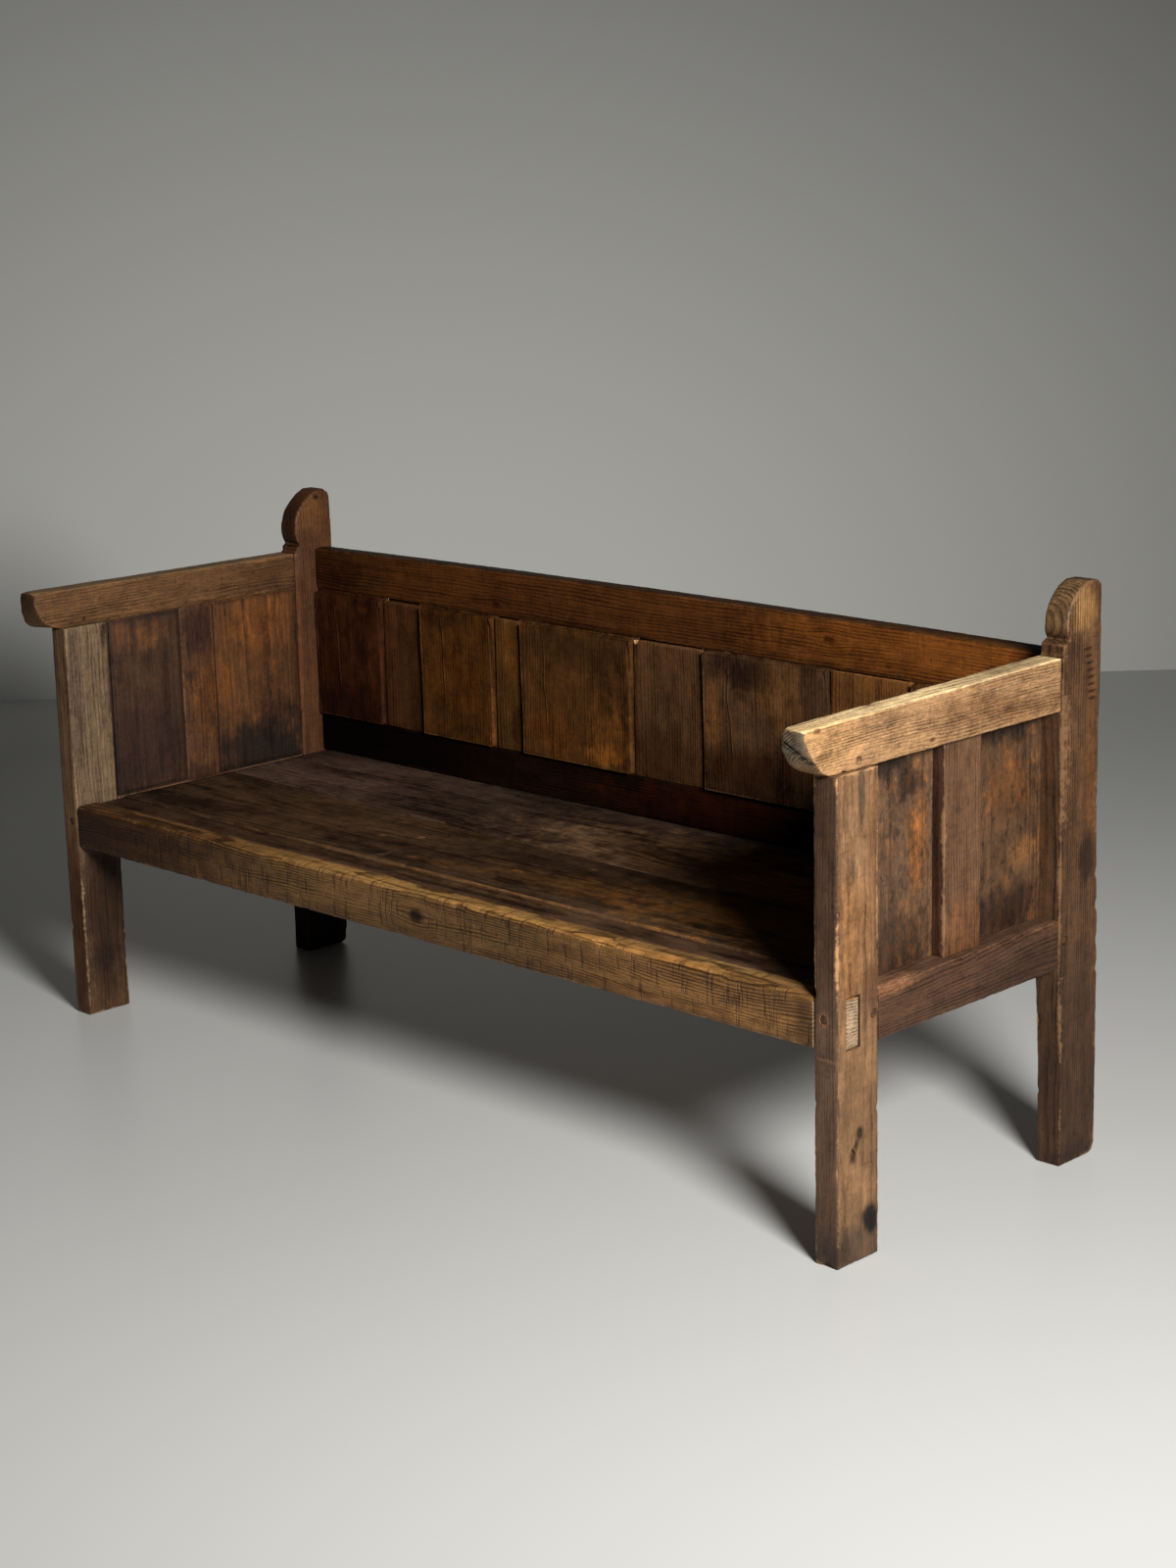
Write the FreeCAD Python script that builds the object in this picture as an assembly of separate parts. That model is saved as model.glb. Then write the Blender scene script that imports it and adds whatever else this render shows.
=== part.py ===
import FreeCAD, Part
import math
import os

# Joined settle: a boarded bench with a low panelled back and panelled arms.
# Row frame: +X to the photograph's right along the seat, -Y to the front, +Z up,
# origin on the floor under the middle of the outline. Sizes in millimetres.
# Depths below are counted back from the front faces of the front posts.

# Overall
HALF_LENGTH = 950.0
FRONT_Y = -295.0
POST_THICK = 46.5
INNER_X = HALF_LENGTH - POST_THICK
REAR_DEPTH = 654.0

# Front posts
FRONT_POST_DEPTH = 96.0
ARM_BOTTOM = {"left": 755.0, "right": 750.0}
POST_TENON_THICK = 15.0
POST_TENON_HEIGHT = 42.0
POST_TENON_INSET = 14.0

# Rear posts: front edge, knob and back edge, as depth and height
REAR_POST_FRONT = {"left": 557.5, "right": 546.0}
KNOB_NOTCH = {
    "left": [(564.0, 826.0), (564.0, 834.0), (572.0, 840.5)],
    "right": [(549.5, 838.0), (549.5, 857.5), (565.0, 860.0)],
}
KNOB_CURVE = {
    "left": [(572.0, 840.5), (566.0, 850.0), (563.2, 866.0), (564.7, 886.5),
             (571.0, 903.5), (584.5, 919.5), (600.5, 933.0), (619.0, 943.0)],
    "right": [(565.0, 860.0), (558.5, 868.0), (556.3, 882.0), (558.6, 900.5),
              (566.0, 915.0), (577.0, 927.5), (591.5, 939.5), (611.0, 947.0)],
}
KNOB_CROWN = {
    "left": [(619.0, 943.0), (642.0, 943.5), (653.0, 938.5), (657.0, 928.0)],
    "right": [(611.0, 947.0), (630.0, 948.8), (641.0, 948.2), (648.0, 943.5), (650.0, 934.0)],
}
REAR_POST_BACK = {
    "left": [(657.0, 928.0), (658.0, 905.0), (658.0, 860.0), (656.0, 776.0), (654.5, 660.0), (654.5, 400.0)],
    "right": [(650.0, 934.0), (649.0, 868.0), (647.5, 776.0), (645.5, 700.0), (646.5, 540.0), (651.5, 400.0)],
}
FOOT_BACK_STEP = 190.0
FOOT_RADIUS = 17.0
FOOT_FRONT_SET = {"left": -8.5, "right": 10.0}
FOOT_SET_TOP = 320.0
FOOT_SET_LOW = 160.0

# Arms
ARM_IN_X = 902.0
ARM_OUT_X = 948.5
ARM_NOSE = {
    "left": [(-62.5, 828.5), (-65.0, 800.0), (-53.0, 768.0), (-14.0, 755.0)],
    "right": [(-68.0, 826.0), (-66.0, 807.0), (-49.5, 770.0), (-6.0, 750.0)],
}
ARM_REAR_TOP = {"left": 824.5, "right": 836.0}
ARM_TENON_THICK = 15.0
ARM_TENON_LENGTH = 42.0
ARM_TENON_INSET = 14.0

# Lower rails
SEAT_TOP = 416.0
FRONT_RAIL_THICK = 51.0
FRONT_RAIL_LOW = 334.0
FRONT_RAIL_TOP = 415.0
FRONT_TENON_FROM = 20.5
FRONT_TENON_LOW = 336.5
FRONT_TENON_TOP = 412.5
FRONT_TENON_GAP = 3.5
FRONT_TENON_SHY = 0.5
SIDE_RAIL_LOW = 333.0
SIDE_TENON_THICK = 15.0
SIDE_TENON_LENGTH = 40.0
SIDE_TENON_LOW = 343.0
SIDE_TENON_TOP = 400.0

# Side panels and muntins
SIDE_PANEL_OUT = 910.5
SIDE_PANEL_IN = 901.5
TONGUE_IN = 906.5
GROOVE_DEEP = 10.0
TONGUE_DEEP = 9.0
FIELD_GAP = 1.5
MUNTIN_OUT = 932.5
SIDE_MUNTIN = {"left": (266.0, 343.5), "right": (271.0, 365.0)}
MUNTIN_TENON_X = (916.5, 927.5)
MUNTIN_TENON_LENGTH = 24.0
MUNTIN_TENON_INSET = 14.0

# Back
BACK_FRONT = 610.0
BACK_RAIL_THICK = 37.0
TOP_RAIL_LOW = 746.0
TOP_RAIL_ENDS = 829.0
TOP_RAIL_CROWN = 835.0
BOTTOM_RAIL_TOP = 493.0
BACK_MUNTIN_THICK = 30.0
BACK_TONGUE = (614.0, 620.0)
BACK_MUNTIN_TENON = (622.0, 633.0)
PANEL_PROUD = 8.0
PANEL_BEVEL = 5.0
RAIL_TENON = (624.0, 638.0)
RAIL_TENON_LENGTH = 32.0
RAIL_TENON_HEIGHTS = {"top": (764.0, 817.0), "bottom": (426.0, 479.0), "seat": (344.0, 378.0)}
BACK_MUNTINS = [(-704.0, -594.0), (-389.5, -317.0), (-28.0, 142.0), (431.0, 605.0)]
PANEL_GAP_LEFT = 5.0
PANEL_GAP_RIGHT = 1.5
PANEL_GAP_ENDS = 2.0

# Seat
BOARD_CLEAR = 2.5
BOARD_LOW = 388.0
FRONT_BOARD_TOP = 413.0
FRONT_BOARD_BACK = 107.0
MIDDLE_JOINT_LEFT = 372.0
MIDDLE_JOINT_RIGHT = 322.0
BOARD_UNDER_RAIL = 28.0
BOARD_TONGUE = (396.0, 406.0)
BOARD_TONGUE_DEEP = 11.0
BEARER_AT = {"left": -450.0, "middle": 0.0, "right": 450.0}
BEARER_WIDE = 60.0
BEARER_LOW = 338.0
BEARER_TENON = (350.0, 376.0)
BEARER_TENON_WIDE = 40.0
BEARER_TENON_LENGTH = 20.0
REAR_SEAT_RAIL_LOW = 334.0
REAR_SEAT_RAIL_THICK = 42.0
LEDGER_WIDE = 30.0
LEDGER_LOW = 350.0
LEDGER_FROM = 100.0
LEDGER_TO = 540.0

# Pegs and nails
PEG_RADIUS = 6.5
PEG_PROUD = 1.0
FRONT_PEG_X = 923.0
FRONT_PEG_Z = 383.0
FRONT_PEG_END = 55.0
SIDE_PEG_Z = 379.0
SIDE_PEG_DEEP = 38.5
SIDE_PEG_FRONT = 83.0
SIDE_PEG_REAR_IN = 16.0
ARM_PEG_RADIUS = 5.0
ARM_PEG_DEPTH = 48.0
ARM_PEG_UP = 17.0
ARM_REAR_PEG_IN = 22.0
ARM_REAR_PEG_UP = 24.0
BACK_PEG_RADIUS = 5.5
BACK_PEG_X = 920.5
BACK_PEG_SPAN = (616.0, 650.0)
NAIL_RADIUS = 2.0
NAIL_HEAD_RADIUS = 5.0
NAIL_HEAD_THICK = 2.0
NAIL_LENGTH = 48.0
LEDGER_NAIL_DEPTHS = (140.0, 320.0, 500.0)

SIDES = ("left", "right")
SIGN = {"left": -1.0, "right": 1.0}


# Helpers

def block(x0, x1, d0, d1, z0, z1):
    """Box between two X values, two depths and two heights."""
    low_x = min(x0, x1)
    corner = FreeCAD.Vector(low_x, FRONT_Y + d0, z0)
    return Part.makeBox(abs(x1 - x0), d1 - d0, z1 - z0, corner)


def side_block(side, x0, x1, d0, d1, z0, z1):
    """Box on one side of the bench, with X counted outward from the middle."""
    sign = SIGN[side]
    return block(sign * x0, sign * x1, d0, d1, z0, z1)


def vec(x, depth, z):
    return FreeCAD.Vector(x, FRONT_Y + depth, z)


def cylinder_x(x0, x1, depth, z, radius):
    """Round pin along X."""
    low_x = min(x0, x1)
    return Part.makeCylinder(radius, abs(x1 - x0), vec(low_x, depth, z), FreeCAD.Vector(1, 0, 0))


def cylinder_y(x, d0, d1, z, radius):
    """Round pin along Y."""
    return Part.makeCylinder(radius, d1 - d0, vec(x, d0, z), FreeCAD.Vector(0, 1, 0))


def outline_edges(x, points):
    """Straight edges through points of depth and height at one X."""
    corners = [vec(x, depth, z) for depth, z in points]
    return [Part.makeLine(a, b) for a, b in zip(corners, corners[1:])]


def thick_outline(side, x_in, x_out, edges_at):
    """Face outlined at the inner X, pushed out to the outer X."""
    sign = SIGN[side]
    wire = Part.Wire(edges_at(sign * x_in))
    face = Part.Face(wire)
    solid = face.extrude(FreeCAD.Vector(sign * (x_out - x_in), 0, 0))
    if solid.Volume < 0:
        solid.reverse()
    return solid


def group(solids):
    return Part.makeCompound(solids)


# Cutters that several pieces share

def front_mortise(side):
    """Through hole of a front post for the front rail's tenon."""
    top = FRONT_TENON_TOP + FRONT_TENON_GAP
    return side_block(side, INNER_X, HALF_LENGTH, FRONT_TENON_FROM, FRONT_RAIL_THICK, FRONT_TENON_LOW, top)


def side_rail_tenons(side):
    mid = (INNER_X + HALF_LENGTH) / 2
    x0 = mid - SIDE_TENON_THICK / 2
    x1 = mid + SIDE_TENON_THICK / 2
    z0 = SIDE_TENON_LOW
    z1 = SIDE_TENON_TOP
    rear_face = REAR_POST_FRONT[side]
    front = side_block(side, x0, x1, FRONT_POST_DEPTH - SIDE_TENON_LENGTH, FRONT_POST_DEPTH, z0, z1)
    rear = side_block(side, x0, x1, rear_face, rear_face + SIDE_TENON_LENGTH, z0, z1)
    return front, rear


def arm_rear_tenon(side):
    mid = (ARM_IN_X + ARM_OUT_X) / 2
    x0 = mid - ARM_TENON_THICK / 2
    x1 = mid + ARM_TENON_THICK / 2
    face = REAR_POST_FRONT[side]
    low = ARM_BOTTOM[side] + ARM_TENON_INSET
    high = ARM_REAR_TOP[side] - ARM_TENON_INSET
    return side_block(side, x0, x1, face, face + ARM_TENON_LENGTH, low, high)


def arm_post_tenon(side):
    mid = (ARM_IN_X + ARM_OUT_X) / 2
    x0 = mid - POST_TENON_THICK / 2
    x1 = mid + POST_TENON_THICK / 2
    low = ARM_BOTTOM[side]
    d1 = FRONT_POST_DEPTH - POST_TENON_INSET
    return side_block(side, x0, x1, POST_TENON_INSET, d1, low, low + POST_TENON_HEIGHT)


def side_muntin_tenons(side):
    x0, x1 = MUNTIN_TENON_X
    d0, d1 = SIDE_MUNTIN[side]
    d0 += MUNTIN_TENON_INSET
    d1 -= MUNTIN_TENON_INSET
    low = side_block(side, x0, x1, d0, d1, SEAT_TOP - MUNTIN_TENON_LENGTH, SEAT_TOP)
    top = ARM_BOTTOM[side]
    high = side_block(side, x0, x1, d0, d1, top, top + MUNTIN_TENON_LENGTH)
    return low, high


def side_groove(side):
    """Groove all round a side frame for the tongues of its panels."""
    d0 = FRONT_POST_DEPTH - GROOVE_DEEP
    d1 = REAR_POST_FRONT[side] + GROOVE_DEEP
    z0 = SEAT_TOP - GROOVE_DEEP
    z1 = ARM_BOTTOM[side] + GROOVE_DEEP
    return side_block(side, TONGUE_IN, SIDE_PANEL_OUT, d0, d1, z0, z1)


def back_groove():
    """Groove all round the back frame for the tongues of its panels."""
    reach = INNER_X + GROOVE_DEEP
    z0 = BOTTOM_RAIL_TOP - GROOVE_DEEP
    z1 = TOP_RAIL_LOW + GROOVE_DEEP
    return block(-reach, reach, BACK_TONGUE[0], BACK_TONGUE[1], z0, z1)


def back_rail_tenon(side, name):
    low, high = RAIL_TENON_HEIGHTS[name]
    return side_block(side, INNER_X, INNER_X + RAIL_TENON_LENGTH, RAIL_TENON[0], RAIL_TENON[1], low, high)


def back_muntin_tenons(span):
    x0 = span[0] + MUNTIN_TENON_INSET
    x1 = span[1] - MUNTIN_TENON_INSET
    d0, d1 = BACK_MUNTIN_TENON
    low = block(x0, x1, d0, d1, BOTTOM_RAIL_TOP - MUNTIN_TENON_LENGTH, BOTTOM_RAIL_TOP)
    high = block(x0, x1, d0, d1, TOP_RAIL_LOW, TOP_RAIL_LOW + MUNTIN_TENON_LENGTH)
    return low, high


def bearer_tenons(name):
    x0 = BEARER_AT[name] - BEARER_TENON_WIDE / 2
    x1 = BEARER_AT[name] + BEARER_TENON_WIDE / 2
    low, high = BEARER_TENON
    front = block(x0, x1, FRONT_RAIL_THICK - BEARER_TENON_LENGTH, FRONT_RAIL_THICK, low, high)
    rear = block(x0, x1, BACK_FRONT, BACK_FRONT + BEARER_TENON_LENGTH, low, high)
    return front, rear


# Pegs and nails: each list holds the separate solids of one kind

def front_rail_peg_list():
    pegs = []
    for side in SIDES:
        x = SIGN[side] * FRONT_PEG_X
        pegs.append(cylinder_y(x, -PEG_PROUD, FRONT_PEG_END, FRONT_PEG_Z, PEG_RADIUS))
    return pegs


def side_rail_peg_list():
    pegs = []
    for side in SIDES:
        sign = SIGN[side]
        x0 = sign * (HALF_LENGTH - SIDE_PEG_DEEP)
        x1 = sign * HALF_LENGTH
        rear = REAR_POST_FRONT[side] + SIDE_PEG_REAR_IN
        for depth in (SIDE_PEG_FRONT, rear):
            pegs.append(cylinder_x(x0, x1, depth, SIDE_PEG_Z, PEG_RADIUS))
    return pegs


def arm_front_peg_list():
    pegs = []
    for side in SIDES:
        sign = SIGN[side]
        z = ARM_BOTTOM[side] + ARM_PEG_UP
        pegs.append(cylinder_x(sign * ARM_IN_X, sign * ARM_OUT_X, ARM_PEG_DEPTH, z, ARM_PEG_RADIUS))
    return pegs


def arm_rear_peg_list():
    pegs = []
    for side in SIDES:
        sign = SIGN[side]
        depth = REAR_POST_FRONT[side] + ARM_REAR_PEG_IN
        z = ARM_BOTTOM[side] + ARM_REAR_PEG_UP
        pegs.append(cylinder_x(sign * INNER_X, sign * HALF_LENGTH, depth, z, ARM_PEG_RADIUS))
    return pegs


def back_rail_peg_list():
    pegs = []
    for side in SIDES:
        x = SIGN[side] * BACK_PEG_X
        for name in RAIL_TENON_HEIGHTS:
            low, high = RAIL_TENON_HEIGHTS[name]
            z = (low + high) / 2
            pegs.append(cylinder_y(x, BACK_PEG_SPAN[0], BACK_PEG_SPAN[1], z, BACK_PEG_RADIUS))
    return pegs


def ledger_nail_list():
    nails = []
    head_z = (LEDGER_LOW + BOARD_LOW) / 2
    for side in SIDES:
        sign = SIGN[side]
        head_x = INNER_X - LEDGER_WIDE
        for depth in LEDGER_NAIL_DEPTHS:
            tip = sign * (head_x + NAIL_LENGTH)
            cap = sign * (head_x - NAIL_HEAD_THICK)
            shank = cylinder_x(sign * head_x, tip, depth, head_z, NAIL_RADIUS)
            head = cylinder_x(cap, sign * head_x, depth, head_z, NAIL_HEAD_RADIUS)
            nails.append(head.fuse(shank).removeSplitter())
    return nails


# Posts

def front_post(side):
    top = ARM_BOTTOM[side]
    body = side_block(side, INNER_X, HALF_LENGTH, 0.0, FRONT_POST_DEPTH, 0.0, top)
    body = body.fuse(arm_post_tenon(side))
    cutters = [front_mortise(side), side_rail_tenons(side)[0], side_groove(side)]
    cutters += front_rail_peg_list() + side_rail_peg_list() + arm_front_peg_list()
    return body.cut(cutters).removeSplitter()


def curve_through(x, points):
    """Smooth edge through points of depth and height at one X."""
    curve = Part.BSplineCurve()
    curve.interpolate([vec(x, depth, z) for depth, z in points])
    return curve.toShape()


def rear_post_edges(side):
    """Outline of a rear post: foot, front edge, knob, back edge and the rounded back of the foot."""
    front = REAR_POST_FRONT[side]
    foot = front + FOOT_FRONT_SET[side]
    rise = [(foot, 0.0), (foot, FOOT_SET_LOW), (front, FOOT_SET_TOP), (front, KNOB_NOTCH[side][0][1])]
    heel = [(REAR_DEPTH, FOOT_BACK_STEP), (REAR_DEPTH, FOOT_RADIUS)]
    bend = FOOT_RADIUS * (1 - math.sqrt(0.5))

    def edges_at(x):
        edges = outline_edges(x, rise + KNOB_NOTCH[side])
        edges.append(curve_through(x, KNOB_CURVE[side]))
        edges.append(curve_through(x, KNOB_CROWN[side]))
        edges += outline_edges(x, REAR_POST_BACK[side] + heel)
        arc = Part.Arc(
            vec(x, REAR_DEPTH, FOOT_RADIUS),
            vec(x, REAR_DEPTH - bend, bend),
            vec(x, REAR_DEPTH - FOOT_RADIUS, 0.0),
        )
        edges.append(arc.toShape())
        edges += outline_edges(x, [(REAR_DEPTH - FOOT_RADIUS, 0.0), (foot, 0.0)])
        return edges

    return edges_at


def rear_post(side):
    body = thick_outline(side, INNER_X, HALF_LENGTH, rear_post_edges(side))
    cutters = [side_rail_tenons(side)[1], arm_rear_tenon(side), side_groove(side), back_groove()]
    cutters += [back_rail_tenon(side, name) for name in RAIL_TENON_HEIGHTS]
    cutters += side_rail_peg_list() + arm_rear_peg_list() + back_rail_peg_list()
    return body.cut(cutters).removeSplitter()


# Arms

def arm_edges(side):
    """Outline of an arm: straight top and underside, rounded underside of the nose."""
    tip, start, through, end = ARM_NOSE[side]
    rear = REAR_POST_FRONT[side]
    straight = [end, (rear, ARM_BOTTOM[side]), (rear, ARM_REAR_TOP[side]), tip, start]

    def edges_at(x):
        edges = outline_edges(x, straight)
        arc = Part.Arc(vec(x, *start), vec(x, *through), vec(x, *end))
        edges.append(arc.toShape())
        return edges

    return edges_at


def arm(side):
    body = thick_outline(side, ARM_IN_X, ARM_OUT_X, arm_edges(side))
    body = body.fuse(arm_rear_tenon(side))
    cutters = [arm_post_tenon(side), side_muntin_tenons(side)[1], side_groove(side)]
    cutters += arm_front_peg_list() + arm_rear_peg_list()
    return body.cut(cutters).removeSplitter()


# Lower rails

def front_seat_rail():
    body = block(-INNER_X, INNER_X, 0.0, FRONT_RAIL_THICK, FRONT_RAIL_LOW, FRONT_RAIL_TOP)
    reach = HALF_LENGTH - FRONT_TENON_SHY
    tenons = block(-reach, reach, FRONT_TENON_FROM, FRONT_RAIL_THICK, FRONT_TENON_LOW, FRONT_TENON_TOP)
    body = body.fuse(tenons)
    reach = INNER_X - BOARD_CLEAR
    d0 = FRONT_RAIL_THICK - BOARD_TONGUE_DEEP
    cutters = [block(-reach, reach, d0, FRONT_RAIL_THICK, BOARD_TONGUE[0], BOARD_TONGUE[1])]
    cutters += [bearer_tenons(name)[0] for name in BEARER_AT]
    cutters += front_rail_peg_list()
    return body.cut(cutters).removeSplitter()


def side_rail(side):
    rear = REAR_POST_FRONT[side]
    body = side_block(side, INNER_X, HALF_LENGTH, FRONT_POST_DEPTH, rear, SIDE_RAIL_LOW, SEAT_TOP)
    body = body.fuse(list(side_rail_tenons(side)))
    cutters = [side_muntin_tenons(side)[0], side_groove(side)]
    cutters += side_rail_peg_list() + ledger_nail_list()
    return body.cut(cutters).removeSplitter()


def rear_seat_rail():
    d1 = BACK_FRONT + REAR_SEAT_RAIL_THICK
    body = block(-INNER_X, INNER_X, BACK_FRONT, d1, REAR_SEAT_RAIL_LOW, BOARD_LOW)
    body = body.fuse([back_rail_tenon(side, "seat") for side in SIDES])
    cutters = [bearer_tenons(name)[1] for name in BEARER_AT]
    cutters += back_rail_peg_list()
    return body.cut(cutters).removeSplitter()


# Sides: muntin and two panels each

def side_muntin(side):
    d0, d1 = SIDE_MUNTIN[side]
    body = side_block(side, INNER_X, MUNTIN_OUT, d0, d1, SEAT_TOP, ARM_BOTTOM[side])
    body = body.fuse(list(side_muntin_tenons(side)))
    z0 = SEAT_TOP
    z1 = ARM_BOTTOM[side]
    front = side_block(side, TONGUE_IN, SIDE_PANEL_OUT, d0, d0 + GROOVE_DEEP, z0, z1)
    rear = side_block(side, TONGUE_IN, SIDE_PANEL_OUT, d1 - GROOVE_DEEP, d1, z0, z1)
    return body.cut([front, rear]).removeSplitter()


def side_panel(side, place):
    low_muntin, high_muntin = SIDE_MUNTIN[side]
    if place == "front":
        d0, d1 = FRONT_POST_DEPTH, low_muntin
    else:
        d0, d1 = high_muntin, REAR_POST_FRONT[side]
    z0 = SEAT_TOP
    z1 = ARM_BOTTOM[side]
    tongue = side_block(side, TONGUE_IN, SIDE_PANEL_OUT, d0 - TONGUE_DEEP, d1 + TONGUE_DEEP,
                        z0 - TONGUE_DEEP, z1 + TONGUE_DEEP)
    field = side_block(side, SIDE_PANEL_IN, TONGUE_IN, d0 + FIELD_GAP, d1 - FIELD_GAP,
                       z0 + FIELD_GAP, z1 - FIELD_GAP)
    return tongue.fuse(field).removeSplitter()


# Back: two rails, four muntins and five raised panels

def bowed_rail_body():
    """Top rail with a straight underside and a top edge that rises a little to the middle."""
    left_low = vec(-INNER_X, BACK_FRONT, TOP_RAIL_LOW)
    right_low = vec(INNER_X, BACK_FRONT, TOP_RAIL_LOW)
    left_top = vec(-INNER_X, BACK_FRONT, TOP_RAIL_ENDS)
    right_top = vec(INNER_X, BACK_FRONT, TOP_RAIL_ENDS)
    middle = vec(0.0, BACK_FRONT, TOP_RAIL_CROWN)
    edges = [
        Part.makeLine(left_low, right_low),
        Part.makeLine(right_low, right_top),
        Part.Arc(right_top, middle, left_top).toShape(),
        Part.makeLine(left_top, left_low),
    ]
    return Part.Face(Part.Wire(edges)).extrude(FreeCAD.Vector(0, BACK_RAIL_THICK, 0))


def back_top_rail():
    body = bowed_rail_body().fuse([back_rail_tenon(side, "top") for side in SIDES])
    cutters = [back_groove()] + back_rail_peg_list()
    cutters += [back_muntin_tenons(span)[1] for span in BACK_MUNTINS]
    return body.cut(cutters).removeSplitter()


def back_bottom_rail():
    d1 = BACK_FRONT + BACK_RAIL_THICK
    body = block(-INNER_X, INNER_X, BACK_FRONT, d1, SEAT_TOP, BOTTOM_RAIL_TOP)
    body = body.fuse([back_rail_tenon(side, "bottom") for side in SIDES])
    cutters = [back_groove()] + back_rail_peg_list()
    cutters += [back_muntin_tenons(span)[0] for span in BACK_MUNTINS]
    return body.cut(cutters).removeSplitter()


def back_muntin(span):
    d1 = BACK_FRONT + BACK_MUNTIN_THICK
    body = block(span[0], span[1], BACK_FRONT, d1, BOTTOM_RAIL_TOP, TOP_RAIL_LOW)
    body = body.fuse(list(back_muntin_tenons(span)))
    grooves = []
    for x0 in (span[0], span[1] - GROOVE_DEEP):
        x1 = x0 + GROOVE_DEEP
        grooves.append(block(x0, x1, BACK_TONGUE[0], BACK_TONGUE[1], BOTTOM_RAIL_TOP, TOP_RAIL_LOW))
    return body.cut(grooves).removeSplitter()


def back_panel(left, right):
    """Panel between two uprights: tongue all round, field proud of the frame with bevelled edges."""
    tongue = block(left - TONGUE_DEEP, right + TONGUE_DEEP, BACK_TONGUE[0], BACK_TONGUE[1],
                   BOTTOM_RAIL_TOP - TONGUE_DEEP, TOP_RAIL_LOW + TONGUE_DEEP)
    x0 = left + PANEL_GAP_LEFT
    x1 = right - PANEL_GAP_RIGHT
    z0 = BOTTOM_RAIL_TOP + PANEL_GAP_ENDS
    z1 = TOP_RAIL_LOW - PANEL_GAP_ENDS
    core = block(x0, x1, BACK_FRONT, BACK_TONGUE[0], z0, z1)
    y_face = FRONT_Y + BACK_FRONT - PANEL_PROUD
    raised = Part.makeWedge(
        x0 + PANEL_BEVEL, y_face, z0 + PANEL_BEVEL, z0, x0,
        x1 - PANEL_BEVEL, FRONT_Y + BACK_FRONT, z1 - PANEL_BEVEL, z1, x1,
    )
    return tongue.fuse([core, raised]).removeSplitter()


def back_panel_spans():
    edges = [-INNER_X]
    for low, high in BACK_MUNTINS:
        edges += [low, high]
    edges.append(INNER_X)
    return list(zip(edges[0::2], edges[1::2]))


# Seat

def seat_board_front():
    reach = INNER_X - BOARD_CLEAR
    board = block(-reach, reach, FRONT_RAIL_THICK, FRONT_BOARD_BACK, BOARD_LOW, FRONT_BOARD_TOP)
    d0 = FRONT_RAIL_THICK - BOARD_TONGUE_DEEP
    tongue = block(-reach, reach, d0, FRONT_RAIL_THICK, BOARD_TONGUE[0], BOARD_TONGUE[1])
    return board.fuse(tongue).removeSplitter()


def board_from_corners(corners):
    points = [vec(x, depth, BOARD_LOW) for x, depth in corners]
    wire = Part.makePolygon(points + points[:1])
    return Part.Face(wire).extrude(FreeCAD.Vector(0, 0, SEAT_TOP - BOARD_LOW))


def seat_board_middle():
    reach = INNER_X - BOARD_CLEAR
    return board_from_corners([
        (-reach, FRONT_BOARD_BACK), (reach, FRONT_BOARD_BACK),
        (reach, MIDDLE_JOINT_RIGHT), (-reach, MIDDLE_JOINT_LEFT),
    ])


def seat_board_rear():
    reach = INNER_X - BOARD_CLEAR
    back = BACK_FRONT + BOARD_UNDER_RAIL
    return board_from_corners([
        (-reach, MIDDLE_JOINT_LEFT), (reach, MIDDLE_JOINT_RIGHT), (reach, back), (-reach, back),
    ])


def seat_bearer(name):
    x0 = BEARER_AT[name] - BEARER_WIDE / 2
    x1 = BEARER_AT[name] + BEARER_WIDE / 2
    body = block(x0, x1, FRONT_RAIL_THICK, BACK_FRONT, BEARER_LOW, BOARD_LOW)
    return body.fuse(list(bearer_tenons(name))).removeSplitter()


def seat_ledger(side):
    body = side_block(side, INNER_X - LEDGER_WIDE, INNER_X, LEDGER_FROM, LEDGER_TO, LEDGER_LOW, BOARD_LOW)
    return body.cut(ledger_nail_list()).removeSplitter()


# Whole bench

def all_pieces():
    pieces = {
        "front_seat_rail": front_seat_rail(),
        "rear_seat_rail": rear_seat_rail(),
        "back_top_rail": back_top_rail(),
        "back_bottom_rail": back_bottom_rail(),
        "seat_board_front": seat_board_front(),
        "seat_board_middle": seat_board_middle(),
        "seat_board_rear": seat_board_rear(),
        "front_rail_pegs": group(front_rail_peg_list()),
        "side_rail_pegs": group(side_rail_peg_list()),
        "arm_front_pegs": group(arm_front_peg_list()),
        "arm_rear_pegs": group(arm_rear_peg_list()),
        "back_rail_pegs": group(back_rail_peg_list()),
        "ledger_nails": group(ledger_nail_list()),
    }
    for side in SIDES:
        pieces["front_post_" + side] = front_post(side)
        pieces["rear_post_" + side] = rear_post(side)
        pieces["arm_" + side] = arm(side)
        pieces["side_rail_" + side] = side_rail(side)
        pieces["side_muntin_" + side] = side_muntin(side)
        pieces["seat_ledger_" + side] = seat_ledger(side)
        for place in ("front", "rear"):
            pieces["side_panel_" + side + "_" + place] = side_panel(side, place)
    for name in BEARER_AT:
        pieces["seat_bearer_" + name] = seat_bearer(name)
    for number, span in enumerate(BACK_MUNTINS, start=1):
        pieces["back_muntin_" + str(number)] = back_muntin(span)
    for number, span in enumerate(back_panel_spans(), start=1):
        pieces["back_panel_" + str(number)] = back_panel(*span)
    return pieces


def main():
    os.makedirs("parts", exist_ok=True)
    for name, shape in all_pieces().items():
        if not shape.isValid():
            raise ValueError(name + " is not a valid solid")
        shape.exportStep("parts/" + name + ".step")
        print(name, len(shape.Solids), round(shape.Volume / 1000.0, 1), "cm3")


main()
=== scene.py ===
import math

import bmesh
import bpy
import numpy as np
from mathutils import Matrix, Vector, noise


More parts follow.
